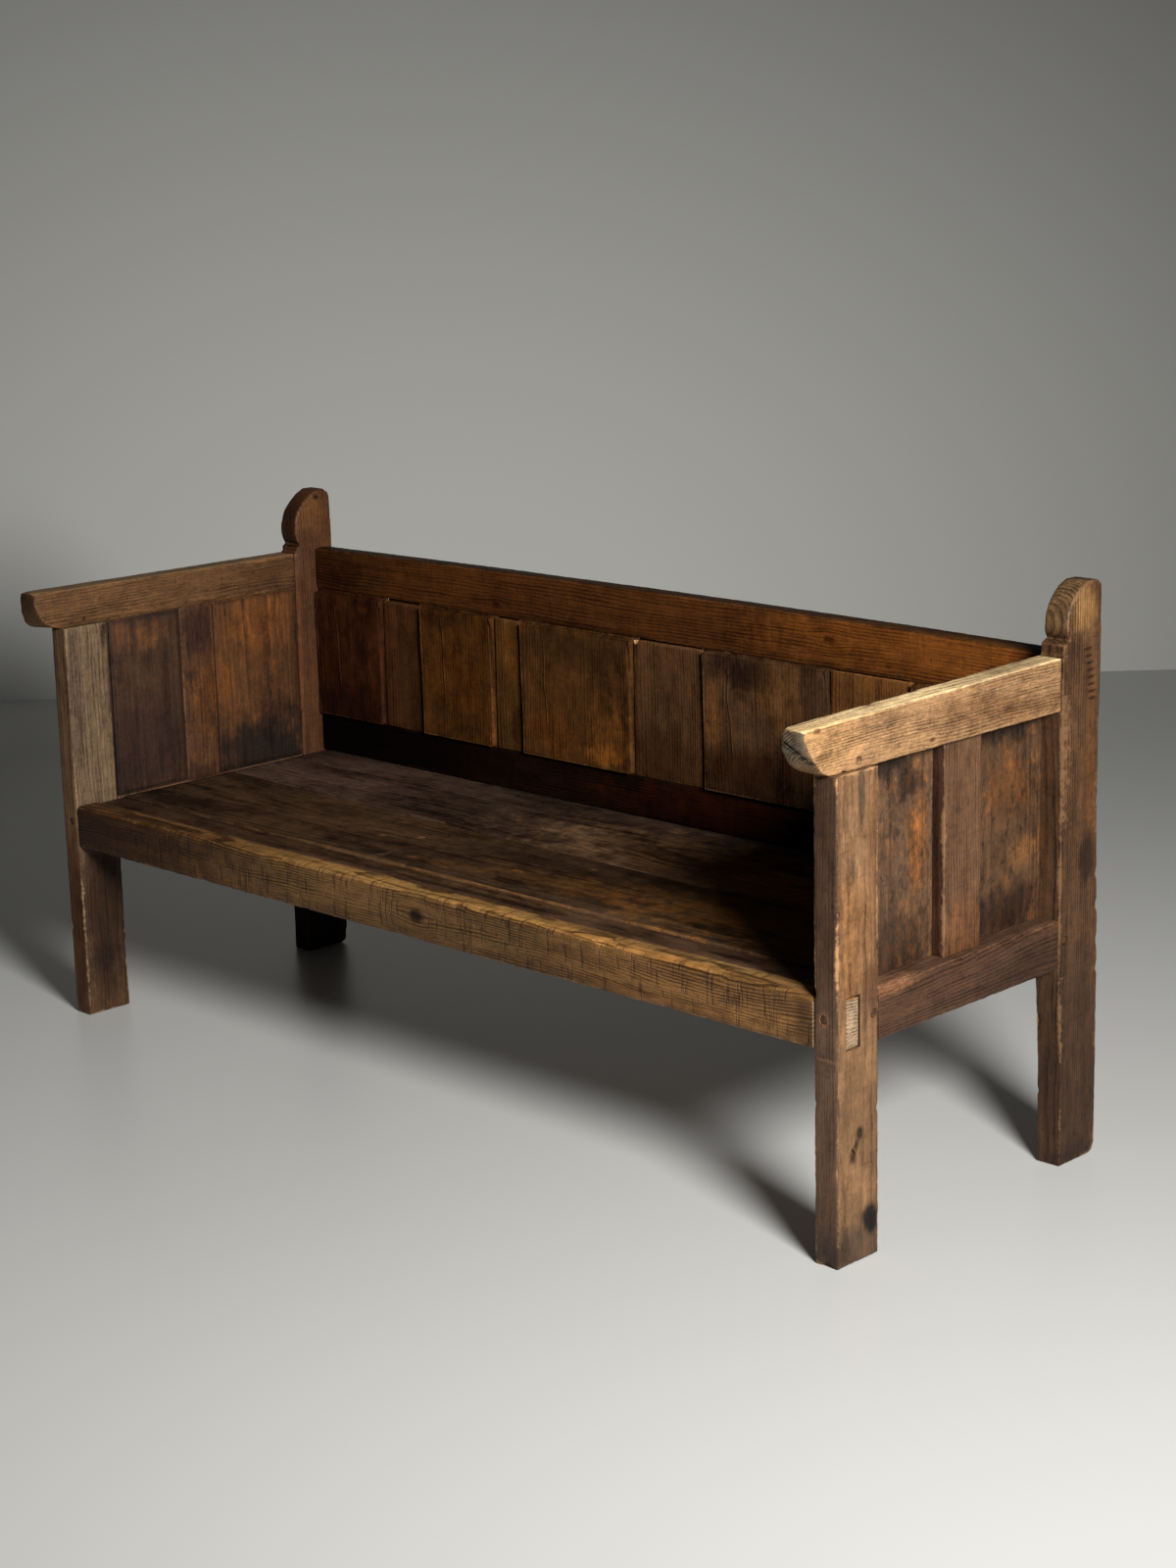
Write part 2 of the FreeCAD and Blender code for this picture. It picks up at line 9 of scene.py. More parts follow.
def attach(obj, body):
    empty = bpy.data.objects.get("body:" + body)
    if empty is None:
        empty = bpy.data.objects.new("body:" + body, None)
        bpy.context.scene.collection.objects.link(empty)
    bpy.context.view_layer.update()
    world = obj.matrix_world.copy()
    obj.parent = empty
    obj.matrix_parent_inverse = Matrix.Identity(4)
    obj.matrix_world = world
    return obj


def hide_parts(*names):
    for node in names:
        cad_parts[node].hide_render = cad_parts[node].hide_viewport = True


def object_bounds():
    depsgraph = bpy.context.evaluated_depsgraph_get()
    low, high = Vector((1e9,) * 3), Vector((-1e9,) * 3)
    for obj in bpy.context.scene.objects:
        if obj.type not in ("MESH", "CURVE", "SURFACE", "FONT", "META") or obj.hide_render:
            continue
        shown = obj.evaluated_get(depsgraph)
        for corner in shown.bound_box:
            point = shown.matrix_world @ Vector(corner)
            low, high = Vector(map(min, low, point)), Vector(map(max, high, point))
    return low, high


bl_info = {
    "name": "Joined Settle",
    "version": (1, 0, 0),
    "blender": (4, 5, 0),
    "location": "View3D > Sidebar > Settle",
    "description": "Builds a worn oak settle around its packed frame, with a plain studio",
    "category": "Object",
}

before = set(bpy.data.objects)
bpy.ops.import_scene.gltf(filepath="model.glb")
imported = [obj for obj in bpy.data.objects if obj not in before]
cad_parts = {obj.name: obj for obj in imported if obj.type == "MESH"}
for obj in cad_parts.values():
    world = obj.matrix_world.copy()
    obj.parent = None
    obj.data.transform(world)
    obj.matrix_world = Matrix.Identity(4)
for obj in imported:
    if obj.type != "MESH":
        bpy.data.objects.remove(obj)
CAD_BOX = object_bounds()

# Sizes below are millimetres. Depth is counted back from the front faces of the front posts.
MM = 0.001
NOSE_REACH = 68.0
FRONT_DEPTH = -CAD_BOX[0].y / MM - NOSE_REACH
END_X = 950.0
INNER_X = 903.5
SIGN = {"left": -1.0, "right": 1.0}
OUTER_FACE = {"left": "-X", "right": "+X"}

# The bench isn't quite even: its rear posts and arms differ from side to side.
REAR_POST_FRONT = {"left": 557.5, "right": 546.0}
ARM_UNDERSIDE = {"left": 755.0, "right": 750.0}

# Peg holes in the posts: radius and depth, then heights in the outer and in the front faces,
# then how far back those of the outer faces are, from the front of the front and rear posts
PEG_HOLE = 7.3
PEG_HOLE_DEPTH = 4.0
SIDE_PEG_HEIGHT = 379.0
RAIL_PEG_HEIGHT = 383.0
FRONT_SIDE_PEG = 83.0
REAR_SIDE_PEG = 16.0

# The studio wall, in metres: a point on its foot and its turn about the vertical
WALL_FOOT = (-3.584, 1.321, 0.0)
WALL_TURN = math.radians(45.5)
# Painted light and shade on the wall: the centre and fall-off of a painted pool of light, then the place and
# fall-off of a painted shadow low by its corner
WALL_LIGHT_POOL = (-3.058, 1.856, -0.5)
WALL_LIGHT_FALLOFF = (0.265, 0.265, 0.387)
WALL_SHADOW_SPOT = (-3.6, 1.3, -0.1)
WALL_SHADOW_FALLOFF = (1.6, 1.6, 1.1)

# The lamp and the camera: places and width in metres, directions, and the lens in millimetres
LAMP_PLACE = (3.66, -1.58, 2.2)
LAMP_AIM = (-0.912, 0.41, 0.0)
LAMP_WIDTH = 1.1
LAMP_SPREAD = math.radians(143)
CAMERA_PLACE = (3.45015, -3.31884, 1.68847)
CAMERA_RIGHT = (0.7142077, 0.6995485, -0.0232218)
CAMERA_DOWN = (0.1476198, -0.1829783, -0.9719709)
CAMERA_AHEAD = (-0.6841898, 0.6907611, -0.2339517)
CAMERA_LENS = 65.34


def at(x, depth, z):
    """Point in metres from millimetres across, back and up."""
    return Vector((x * MM, (depth - FRONT_DEPTH) * MM, z * MM))


def tone(red, green, blue):
    """Linear colour from the 0 to 255 numbers of a colour picker."""
    parts = [c / 255.0 for c in (red, green, blue)]
    return tuple(c / 12.92 if c <= 0.04045 else ((c + 0.055) / 1.055) ** 2.4 for c in parts)


# Shaping

AXES = {"X": 0, "Y": 1, "Z": 2}

# Turns that lay an upright cylinder along each axis
LAID_ALONG = {"X": (0.0, math.pi / 2, 0.0), "Y": (math.pi / 2, 0.0, 0.0), "Z": (0.0, 0.0, 0.0)}


def cross_section(axis, place, corners):
    """The four corners of one cross-section, in metres."""
    if axis == "X":
        return [at(place, depth, z) for depth, z in corners]
    if axis == "Y":
        return [at(x, place, z) for x, z in corners]
    return [at(x, depth, place) for x, depth in corners]


def rectangle(a0, a1, b0, b1):
    """Corners of a square-cut section between two pairs of limits."""
    return [(a0, b0), (a1, b0), (a1, b1), (a0, b1)]


def squared(axis, start, end, limits):
    """Both ends of a timber with one square-cut section."""
    return [cross_section(axis, place, rectangle(*limits)) for place in (start, end)]


def clear_selection(work):
    for part in (work.verts, work.edges, work.faces):
        for item in part:
            item.select = False


def pick_verts(obj, points):
    """Selects the vertices nearest to the points."""
    work = bmesh.from_edit_mesh(obj.data)
    clear_selection(work)
    for point in points:
        min(work.verts, key=lambda v: (v.co - point).length_squared).select = True
    work.select_flush(True)
    bmesh.update_edit_mesh(obj.data)


def pull_corners(obj, now, wanted):
    """Moves corners from where they are to where they should be, like ones together."""
    moves = {}
    for start, end in zip(now, wanted):
        step = end - start
        if step.length > 1e-7:
            moves.setdefault(tuple(round(c, 7) for c in step), []).append(start)
    for step, starts in moves.items():
        pick_verts(obj, starts)
        bpy.ops.transform.translate(value=step)


def rough_out(name, axis, sections):
    """A blank between the first two sections, drawn out section by section."""
    bpy.ops.object.select_all(action="DESELECT")
    index = AXES[axis]
    others = [i for i in range(3) if i != index]
    middle = sum(sections[0] + sections[1], Vector((0, 0, 0))) / 8
    bpy.ops.mesh.primitive_cube_add(size=1.0, location=middle)
    obj = bpy.context.object
    bpy.ops.object.transform_apply(location=True)
    obj.name = obj.data.name = name
    bpy.ops.object.mode_set(mode="EDIT")
    bpy.context.tool_settings.mesh_select_mode = (True, False, False)
    for end, section in zip((-0.5, 0.5), sections[:2]):
        now = []
        for sign in ((-1, -1), (1, -1), (1, 1), (-1, 1)):
            corner = middle.copy()
            corner[index] += end
            corner[others[0]] += sign[0] * 0.5
            corner[others[1]] += sign[1] * 0.5
            now.append(corner)
        pull_corners(obj, now, section)
    last = sections[1]
    for section in sections[2:]:
        pick_verts(obj, last)
        step = Vector((0, 0, 0))
        step[index] = section[0][index] - last[0][index]
        bpy.ops.mesh.extrude_region_move(TRANSFORM_OT_translate={"value": step})
        pull_corners(obj, [corner + step for corner in last], section)
        last = section
    bpy.ops.mesh.select_all(action="SELECT")
    bpy.ops.mesh.normals_make_consistent(inside=False)
    return obj


SHARP = math.radians(35)


def select_edges(obj, test):
    """Selects the edges that pass a test, and says whether there are any."""
    work = bmesh.from_edit_mesh(obj.data)
    clear_selection(work)
    any_found = False
    for edge in work.edges:
        if test(edge):
            edge.select_set(True)
            any_found = True
    bmesh.update_edit_mesh(obj.data)
    return any_found


def is_sharp(edge):
    return len(edge.link_faces) == 2 and edge.calc_face_angle(0.0) > SHARP


def arris_lines(obj):
    work = bmesh.from_edit_mesh(obj.data)
    return [(e.verts[0].co.copy(), e.verts[1].co.copy()) for e in work.edges if is_sharp(e)]


def near_edge(low, high):
    """Test for arrises whose middle lies between two corners given in millimetres."""
    a, b = at(*low), at(*high)

    def test(edge):
        middle = (edge.verts[0].co + edge.verts[1].co) / 2
        return is_sharp(edge) and all(a[i] - 1e-6 <= middle[i] <= b[i] + 1e-6 for i in range(3))

    return test


def mesh_points(obj):
    points = np.zeros(len(obj.data.vertices) * 3)
    obj.data.vertices.foreach_get("co", points)
    return points.reshape(-1, 3)


def cut_along(obj, index, cell):
    """Cuts every edge that runs mainly along one axis into lengths of about one cell."""
    last_count = 0
    while True:
        bpy.ops.object.mode_set(mode="OBJECT")
        mesh = obj.data
        points = mesh_points(obj)
        ends = np.zeros(len(mesh.edges) * 2, np.int32)
        mesh.edges.foreach_get("vertices", ends)
        step = points[ends[1::2]] - points[ends[0::2]]
        length = np.abs(step[:, index])
        runs = (length > cell * 1.3) & (length > 0.75 * np.linalg.norm(step, axis=1))
        cuts = np.where(runs, np.ceil(length / cell) - 1, 0)
        count = int(cuts.max())
        chosen = cuts == count
        mesh.vertices.foreach_set("select", np.zeros(len(mesh.vertices), bool))
        mesh.polygons.foreach_set("select", np.zeros(len(mesh.polygons), bool))
        mesh.edges.foreach_set("select", chosen if count else np.zeros(len(chosen), bool))
        bpy.context.tool_settings.mesh_select_mode = (False, True, False)
        bpy.ops.object.mode_set(mode="EDIT")
        if count == 0 or count == last_count:
            return
        bpy.ops.mesh.subdivide(number_cuts=count)
        last_count = count


def line_distance(points, lines):
    """Distance from each point to the nearest of the lines."""
    best = np.full(len(points), 1e9)
    for a, b in lines:
        a = np.array(a)
        b = np.array(b)
        run = b - a
        share = np.clip((points - a) @ run / max(run @ run, 1e-12), 0.0, 1.0)
        near = a + share[:, None] * run
        best = np.minimum(best, np.linalg.norm(points - near, axis=1))
    return best


def weigh(obj, name, weights):
    """Vertex group from an array of weights."""
    group = obj.vertex_groups.new(name=name)
    for index in np.nonzero(weights > 0.004)[0]:
        group.add([int(index)], float(min(1.0, weights[index])), "REPLACE")


def cloud_texture(name, size, depth):
    texture = bpy.data.textures.get(name)
    if texture is None:
        texture = bpy.data.textures.new(name, "CLOUDS")
        texture.noise_scale = size
        texture.noise_depth = depth
    return texture


def press_in(obj, group, strength, texture=None):
    """Moves the surface inward, by up to strength metres, where a vertex group says so."""
    push = obj.modifiers.new(group or "surface", "DISPLACE")
    push.strength = strength if texture else -strength
    push.mid_level = 1.03 if texture else 0.0
    push.texture = texture
    push.texture_coords = "LOCAL"
    if group:
        push.vertex_group = group
    bpy.ops.object.modifier_apply(modifier=push.name)


def dent_weights(points, dents, deepest):
    """Weights of dents, each (x, depth, z, radius, how deep), with ragged rims."""
    weights = np.zeros(len(points))
    for x, depth, z, radius, deep in dents:
        gap = np.linalg.norm(points - np.array(at(x, depth, z)), axis=1) / (radius * MM)
        for index in np.nonzero(gap < 1.6)[0]:
            ragged = gap[index] + 0.45 * noise.noise(Vector(points[index]) * 170.0)
            weights[index] = max(weights[index], max(0.0, 1.0 - ragged * ragged) * deep / deepest)
    return weights


def cut_away(obj, cutters):
    """Cuts the cutters out of a piece."""
    cutter = join_into(*cutters)
    bpy.ops.object.select_all(action="DESELECT")
    obj.select_set(True)
    bpy.context.view_layer.objects.active = obj
    cut = obj.modifiers.new("cut", "BOOLEAN")
    cut.operation = "DIFFERENCE"
    cut.solver = "EXACT"
    cut.object = cutter
    before = len(obj.data.polygons)
    bpy.ops.object.modifier_apply(modifier=cut.name)
    bpy.data.objects.remove(cutter)
    if len(obj.data.polygons) < before * 0.8:
        raise ValueError(obj.name + " was not cut cleanly")


def groove(face, path, width, deep):
    """Wedge for one crack or tool mark in a face such as "+X", with path, width and depth in millimetres."""
    out = Vector((0, 0, 0))
    out[AXES[face[1]]] = 1.0 if face[0] == "+" else -1.0
    corners = [at(*p) for p in path]
    spread = corners[-1] - corners[0]
    run = max((i for i in range(3) if i != AXES[face[1]]), key=lambda i: abs(spread[i]))
    side = Vector((0, 0, 0))
    side[3 - run - AXES[face[1]]] = 0.5 * width * MM
    sections = []
    for number, point in enumerate(corners):
        full = math.sin(math.pi * (number + 0.25) / (len(corners) - 0.5)) ** 0.7
        wide, low = side * full, out * (-deep * MM * full)
        lift = out * (1.5 * MM)
        sections.append([point - wide + lift, point + wide + lift,
                         point + wide * 0.25 + low, point - wide * 0.25 + low])
    cutter = rough_out("crack", "XYZ"[run], sections)
    bpy.ops.object.mode_set(mode="OBJECT")
    return cutter


def crack(face, start, end, width, deep, wobble=1.2, steps=9, seed=0):
    """Wandering crack between two points in millimetres."""
    path = []
    run = max(range(3), key=lambda i: abs(end[i] - start[i]))
    across = next(i for i in range(3) if i not in (run, AXES[face[1]]))
    for number in range(steps):
        share = number / (steps - 1)
        point = [a + (b - a) * share for a, b in zip(start, end)]
        point[across] += wobble * noise.noise(Vector((share * 3.3, seed * 1.7, 0.5))) * 2.0
        path.append(tuple(point))
    return groove(face, path, width, deep)


def box_cutter(low, high):
    """Square-sided cutter between two corners in millimetres."""
    cutter = rough_out("cutter", "Z", squared("Z", low[2], high[2], (low[0], high[0], low[1], high[1])))
    bpy.ops.object.mode_set(mode="OBJECT")
    return cutter


def finish_piece(obj, lines, reach=0.012, nibble=0.0014, wave=0.0009, dents=()):
    """Wear on the arrises, the uneven surface of hand work and dents."""
    sizes = bpy.context.scene.settle_sizes
    bpy.ops.object.mode_set(mode="OBJECT")
    points = mesh_points(obj)
    gap = line_distance(points, lines) if lines else np.full(len(points), 1.0)
    wear = np.clip(1.0 - gap / reach, 0.0, 1.0)
    if lines and nibble:
        weigh(obj, "arris", wear ** 2)
    if dents:
        deepest = max(d[4] for d in dents)
        weigh(obj, "dents", dent_weights(points, dents, deepest))
    layer = obj.data.attributes.new("wear", "FLOAT", "POINT")
    layer.data.foreach_set("value", wear.astype(np.float32))
    bpy.context.view_layer.objects.active = obj
    press_in(obj, None, wave * sizes.waviness, cloud_texture("hand_worked", 0.11, 1))
    if lines and nibble:
        press_in(obj, "arris", nibble * sizes.edge_wear, cloud_texture("nibbled", 0.013, 2))
    if dents:
        press_in(obj, "dents", deepest * MM)
    obj.vertex_groups.clear()


def timber(name, axis, sections, cell=12.0, cross=14.0, arris=2.5, rounds=(), nibble=0.0014,
           wave=0.0009, reach=0.012, dents=(), open_ends=False, fine=0, cuts=()):
    """One worn timber: blank, rounded arrises, even mesh, wear, and cracks or pockets cut last."""
    obj = rough_out(name, axis, sections)
    lines = arris_lines(obj)
    if open_ends:
        index = AXES[axis]
        lines = [(a, b) for a, b in lines if abs((b - a)[index]) > 1e-5]
    for low, high, offset, steps in rounds:
        if not select_edges(obj, near_edge(low, high)):
            raise ValueError(name + " has no edge to round there")
        bpy.ops.mesh.bevel(offset=offset * MM, segments=steps, profile=0.5, affect="EDGES")
    if select_edges(obj, is_sharp):
        bpy.ops.mesh.bevel(offset=arris * MM, segments=3, profile=0.5, affect="EDGES")
    for index in range(3):
        cut_along(obj, index, (cell if index == AXES[axis] else cross) * MM)
    bpy.ops.mesh.select_all(action="SELECT")
    bpy.ops.mesh.remove_doubles(threshold=0.00002)
    bpy.ops.mesh.normals_make_consistent(inside=False)
    if bmesh.from_edit_mesh(obj.data).calc_volume(signed=True) < 0.0:
        bpy.ops.mesh.flip_normals()
    bpy.ops.object.mode_set(mode="OBJECT")
    if fine:
        finer = obj.modifiers.new("finer", "SUBSURF")
        finer.subdivision_type = "SIMPLE"
        finer.levels = finer.render_levels = fine
        bpy.ops.object.modifier_apply(modifier=finer.name)
    finish_piece(obj, lines, reach, nibble, wave, dents)
    if cuts:
        cut_away(obj, [make(*details) for make, *details in cuts])
    return obj


def place(obj, slot, material, *nodes):
    """Shades a finished piece and fixes it to the frame in place of its CAD nodes."""
    bpy.ops.object.select_all(action="DESELECT")
    obj.select_set(True)
    bpy.context.view_layer.objects.active = obj
    bpy.ops.object.shade_smooth_by_angle(angle=math.radians(38))
    obj.data.materials.clear()
    obj.data.materials.append(material)
    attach(obj, "root")
    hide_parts(*nodes)
    return obj


def join_into(obj, *others):
    """Joins separate closed parts into one object."""
    if not others:
        return obj
    bpy.ops.object.select_all(action="DESELECT")
    for other in others:
        other.select_set(True)
    obj.select_set(True)
    bpy.context.view_layer.objects.active = obj
    bpy.ops.object.join()
    return obj


# Finishes

class Graph:
    """Short names for the nodes that the finishes are made of."""

    def __init__(self, tree):
        self.tree = tree

    def node(self, kind, inputs=(), **settings):
        made = self.tree.nodes.new(kind)
        for key, value in settings.items():
            setattr(made, key, value)
        for key, value in dict(inputs).items():
            self.feed(made.inputs[key], value)
        return made

    def feed(self, socket, value):
        if isinstance(value, bpy.types.NodeSocket):
            self.tree.links.new(value, socket)
        elif socket.type == "RGBA" and len(value) == 3:
            socket.default_value = (*value, 1.0)
        else:
            socket.default_value = value

    def math(self, operation, *values, clamp=False):
        made = self.node("ShaderNodeMath", operation=operation, use_clamp=clamp)
        for socket, value in zip(made.inputs, values):
            self.feed(socket, value)
        return made.outputs[0]

    def vector(self, operation, *values):
        made = self.node("ShaderNodeVectorMath", operation=operation)
        for socket, value in zip(made.inputs, values):
            self.feed(socket, value)
        return made.outputs["Value" if operation in ("LENGTH", "DISTANCE", "DOT_PRODUCT") else "Vector"]

    def scaled(self, vector, factor):
        made = self.node("ShaderNodeVectorMath", operation="SCALE")
        self.feed(made.inputs[0], vector)
        self.feed(made.inputs["Scale"], factor)
        return made.outputs["Vector"]

    def noise(self, vector, stretch=(1.0, 1.0, 1.0), detail=2.0, roughness=0.5, distortion=0.0, output="Fac"):
        made = self.node("ShaderNodeTexNoise", {
            "Vector": self.vector("MULTIPLY", vector, stretch), "Scale": 1.0, "Detail": detail,
            "Roughness": roughness, "Distortion": distortion,
        })
        return made.outputs[output]

    def spread(self, value, amount):
        """Takes the even half off a noise and spreads the rest."""
        return self.math("MULTIPLY", self.math("SUBTRACT", value, 0.5), amount)

    def between(self, value, low, high, out_low=0.0, out_high=1.0):
        made = self.node("ShaderNodeMapRange", {
            "Value": value, "From Min": low, "From Max": high,
            "To Min": out_low, "To Max": out_high,
        }, interpolation_type="SMOOTHSTEP")
        return made.outputs["Result"]

    def mix(self, factor, first, second, blend="MIX"):
        made = self.node("ShaderNodeMix", data_type="RGBA", blend_type=blend)
        self.feed(made.inputs["Factor"], factor)
        self.feed(made.inputs[6], first)
        self.feed(made.inputs[7], second)
        return made.outputs[2]

    def tint(self, colour, factor, by):
        """Multiplies a colour by another where the factor says so."""
        return self.mix(factor, colour, self.vector("MULTIPLY", colour, by))


def new_group(name, inputs, outputs):
    """Empty node group and its graph, with its input and output sockets."""
    group = bpy.data.node_groups.new(name, "ShaderNodeTree")
    for label, kind in inputs:
        group.interface.new_socket(label, in_out="INPUT", socket_type="NodeSocket" + kind)
    for label, kind in outputs:
        group.interface.new_socket(label, in_out="OUTPUT", socket_type="NodeSocket" + kind)
    graph = Graph(group)
    return group, graph, graph.node("NodeGroupInput").outputs, graph.node("NodeGroupOutput").inputs


def oak_figure():
    """Growth rings round the heart of the tree, pores, fibres and clouding, with the grain along X."""
    name = "oak_figure"
    if name in bpy.data.node_groups:
        return bpy.data.node_groups[name]
    group, g, given, out = new_group(
        name,
        [("Vector", "Vector"), ("Spacing", "Float"), ("Wander", "Float"), ("Seed", "Vector")],
        [("Rings", "Float"), ("Pores", "Float"), ("Fibre", "Float"), ("Cloud", "Float"), ("Speckle", "Float"),
         ("Grime", "Float"), ("Mottle", "Float"), ("Tools", "Float")],
    )
    raw = given["Vector"]
    moved = g.vector("ADD", raw, given["Seed"])
    drift = g.noise(moved, (1.7, 7.0, 7.0), 2.0, 0.5, 0.0, "Color")
    drift = g.scaled(g.vector("SUBTRACT", drift, (0.5, 0.5, 0.5)), given["Wander"])
    shiver = g.noise(moved, (14.0, 40.0, 40.0), 1.0, 0.5, 0.0, "Color")
    shiver = g.scaled(g.vector("SUBTRACT", shiver, (0.5, 0.5, 0.5)), 0.004)
    bent = g.vector("ADD", g.vector("ADD", raw, drift), shiver)
    radial = g.vector("LENGTH", g.vector("MULTIPLY", bent, (0.0, 1.0, 1.0)))
    turns = g.math("DIVIDE", radial, given["Spacing"])
    uneven = g.noise(g.vector("MULTIPLY", moved, (0.0, 1.0, 1.0)), (1.0, 30.0, 30.0), 1.0)
    turns = g.math("ADD", turns, g.math("MULTIPLY", uneven, 1.4))
    phase = g.math("FRACT", turns)
    late = g.between(phase, 0.25, 0.9)
    early = g.between(phase, 0.9, 1.0, 1.0, 0.0)
    fade = g.between(g.noise(moved, (4.0, 55.0, 55.0), 3.0, 0.6), 0.3, 0.62)
    g.feed(out["Rings"], g.math("MULTIPLY", g.math("MULTIPLY", late, early), fade))
    coarse = g.noise(moved, (2.2, 48.0, 48.0), 4.0, 0.6)
    narrow = g.noise(moved, (8.0, 300.0, 300.0), 4.0, 0.62)
    g.feed(out["Fibre"], g.math("ADD", g.spread(coarse, 1.2), g.spread(narrow, 1.5)))
    short = g.noise(moved, (42.0, 800.0, 800.0), 2.0, 0.6)
    g.feed(out["Pores"], g.between(short, 0.55, 0.66))
    cloud = g.noise(moved, (3.2, 9.0, 9.0), 6.0, 0.62, 0.6)
    g.feed(out["Cloud"], g.spread(cloud, 2.6))
    speckle = g.noise(moved, (150.0, 260.0, 260.0), 4.0, 0.72)
    g.feed(out["Speckle"], g.spread(speckle, 2.4))
    grime = g.noise(moved, (14.0, 34.0, 34.0), 8.0, 0.72, 0.4)
    g.feed(out["Grime"], g.between(grime, 0.55, 0.7))
    mottle = g.noise(moved, (24.0, 40.0, 40.0), 7.0, 0.68, 0.4)
    g.feed(out["Mottle"], g.spread(mottle, 2.6))
    tools = g.noise(moved, (150.0, 20.0, 20.0), 2.0, 0.55)
    g.feed(out["Tools"], g.between(tools, 0.56, 0.66))
    return group


def patch_group():
    """Soft patch for stains and for painted light and shade: 1 at its centre, 0 outside its three radii, with
    a ragged rim.
    """
    name = "stain_patch"
    if name in bpy.data.node_groups:
        return bpy.data.node_groups[name]
    group, g, given, out = new_group(
        name, [("Vector", "Vector"), ("Centre", "Vector"), ("Radii", "Vector"), ("Ragged", "Float")],
        [("Mask", "Float")],
    )
    rough = g.spread(g.noise(given["Vector"], (34.0, 34.0, 20.0), 6.0, 0.68), 3.0)
    rough = g.math("MULTIPLY", rough, given["Ragged"])
    gap = g.vector("SUBTRACT", given["Vector"], given["Centre"])
    gap = g.vector("LENGTH", g.vector("DIVIDE", gap, given["Radii"]))
    g.feed(out["Mask"], g.between(g.math("ADD", gap, rough), 1.2, 0.4))
    return group


def knot_group():
    """Bends the grain round a knot and gives the knot's own dark eye."""
    name = "knot"
    if name in bpy.data.node_groups:
        return bpy.data.node_groups[name]
    group, g, given, out = new_group(
        name, [("Vector", "Vector"), ("Place", "Vector"), ("Radius", "Float")],
        [("Vector", "Vector"), ("Mask", "Float")],
    )
    away = given["Place"]
    gap = g.math("DIVIDE", g.vector("LENGTH", g.vector("MULTIPLY", away, (0.5, 1.0, 1.0))), given["Radius"])
    near = g.math("EXPONENT", g.math("MULTIPLY", g.math("MULTIPLY", gap, gap), -0.2))
    g.feed(out["Vector"],
           g.vector("SUBTRACT", given["Vector"], g.scaled(away, g.math("MULTIPLY", near, 0.7))))
    rough = g.noise(away, (160.0, 160.0, 160.0), 3.0)
    g.feed(out["Mask"], g.between(g.math("ADD", gap, g.spread(rough, 1.2)), 1.2, 0.5))
    return group


# How each piece differs from its set colour, in red, green and blue. Most rows were worked out
# by measuring the tones of a render against the photograph, and are not chosen by hand.
SHADES = {
    "front_post_right": (0.466, 0.438, 0.404),
    "front_post_left": (0.385, 0.434, 0.480),
    "arm_right": (0.677, 0.669, 0.609),
    "arm_left": (0.272, 0.226, 0.163),
    "side_panel_right_front": (0.506, 0.599, 0.697),
    "side_muntin_right": (0.579, 0.627, 0.666),
    "side_panel_right_rear": (0.467, 0.518, 0.543),
    "side_rail_right": (0.398, 0.401, 0.432),
    "rear_post_right": (0.441, 0.462, 0.438),
    "front_seat_rail": (0.810, 0.884, 0.658),
    "seat_board_front": (0.95, 1.03, 1.03),
    "seat_board_middle": (0.850, 0.975, 0.951),
    "seat_board_rear": (0.877, 1.060, 1.293),
    "back_top_rail": (0.430, 0.362, 0.236),
    "back_panel_1": (0.247, 0.180, 0.170),
    "back_muntin_1": (0.350, 0.330, 0.340),
    "back_panel_2": (0.403, 0.370, 0.222),
    "back_muntin_2": (0.458, 0.513, 0.386),
    "back_panel_3": (0.415, 0.417, 0.331),
    "back_muntin_3": (0.458, 0.527, 0.620),
    "back_panel_4": (0.344, 0.414, 0.550),
    "back_muntin_4": (0.692, 0.710, 0.570),
    "back_panel_5": (0.692, 0.710, 0.570),
    # Painted shade: this row keeps the bottom rail of the back near black, as in deep shade. The +Y tint in
    # its look lifts its back again.
    "back_bottom_rail": (0.16, 0.12, 0.10),
    "side_panel_left_front": (0.255, 0.253, 0.275),
    "side_muntin_left": (0.400, 0.362, 0.306),
    "side_panel_left_rear": (0.545, 0.467, 0.310),
    "side_rail_left": (0.40, 0.40, 0.45),
    "rear_post_left": (0.403, 0.324, 0.223),
    "peg_wood": (0.45, 0.42, 0.40),
}

FACES = {"X": (1.0, 0.0, 0.0), "Y": (0.0, 1.0, 0.0), "Z": (0.0, 0.0, 1.0)}

# What the parts of the grain, worn edges and grime do to the oak's own colour
DARK_GRAIN = (0.3, 0.26, 0.22)
LIGHT_GRAIN = (1.85, 1.88, 1.9)
WORN_EDGE = (2.2, 2.25, 2.0)
GRIME_TINT = (0.3, 0.27, 0.26)


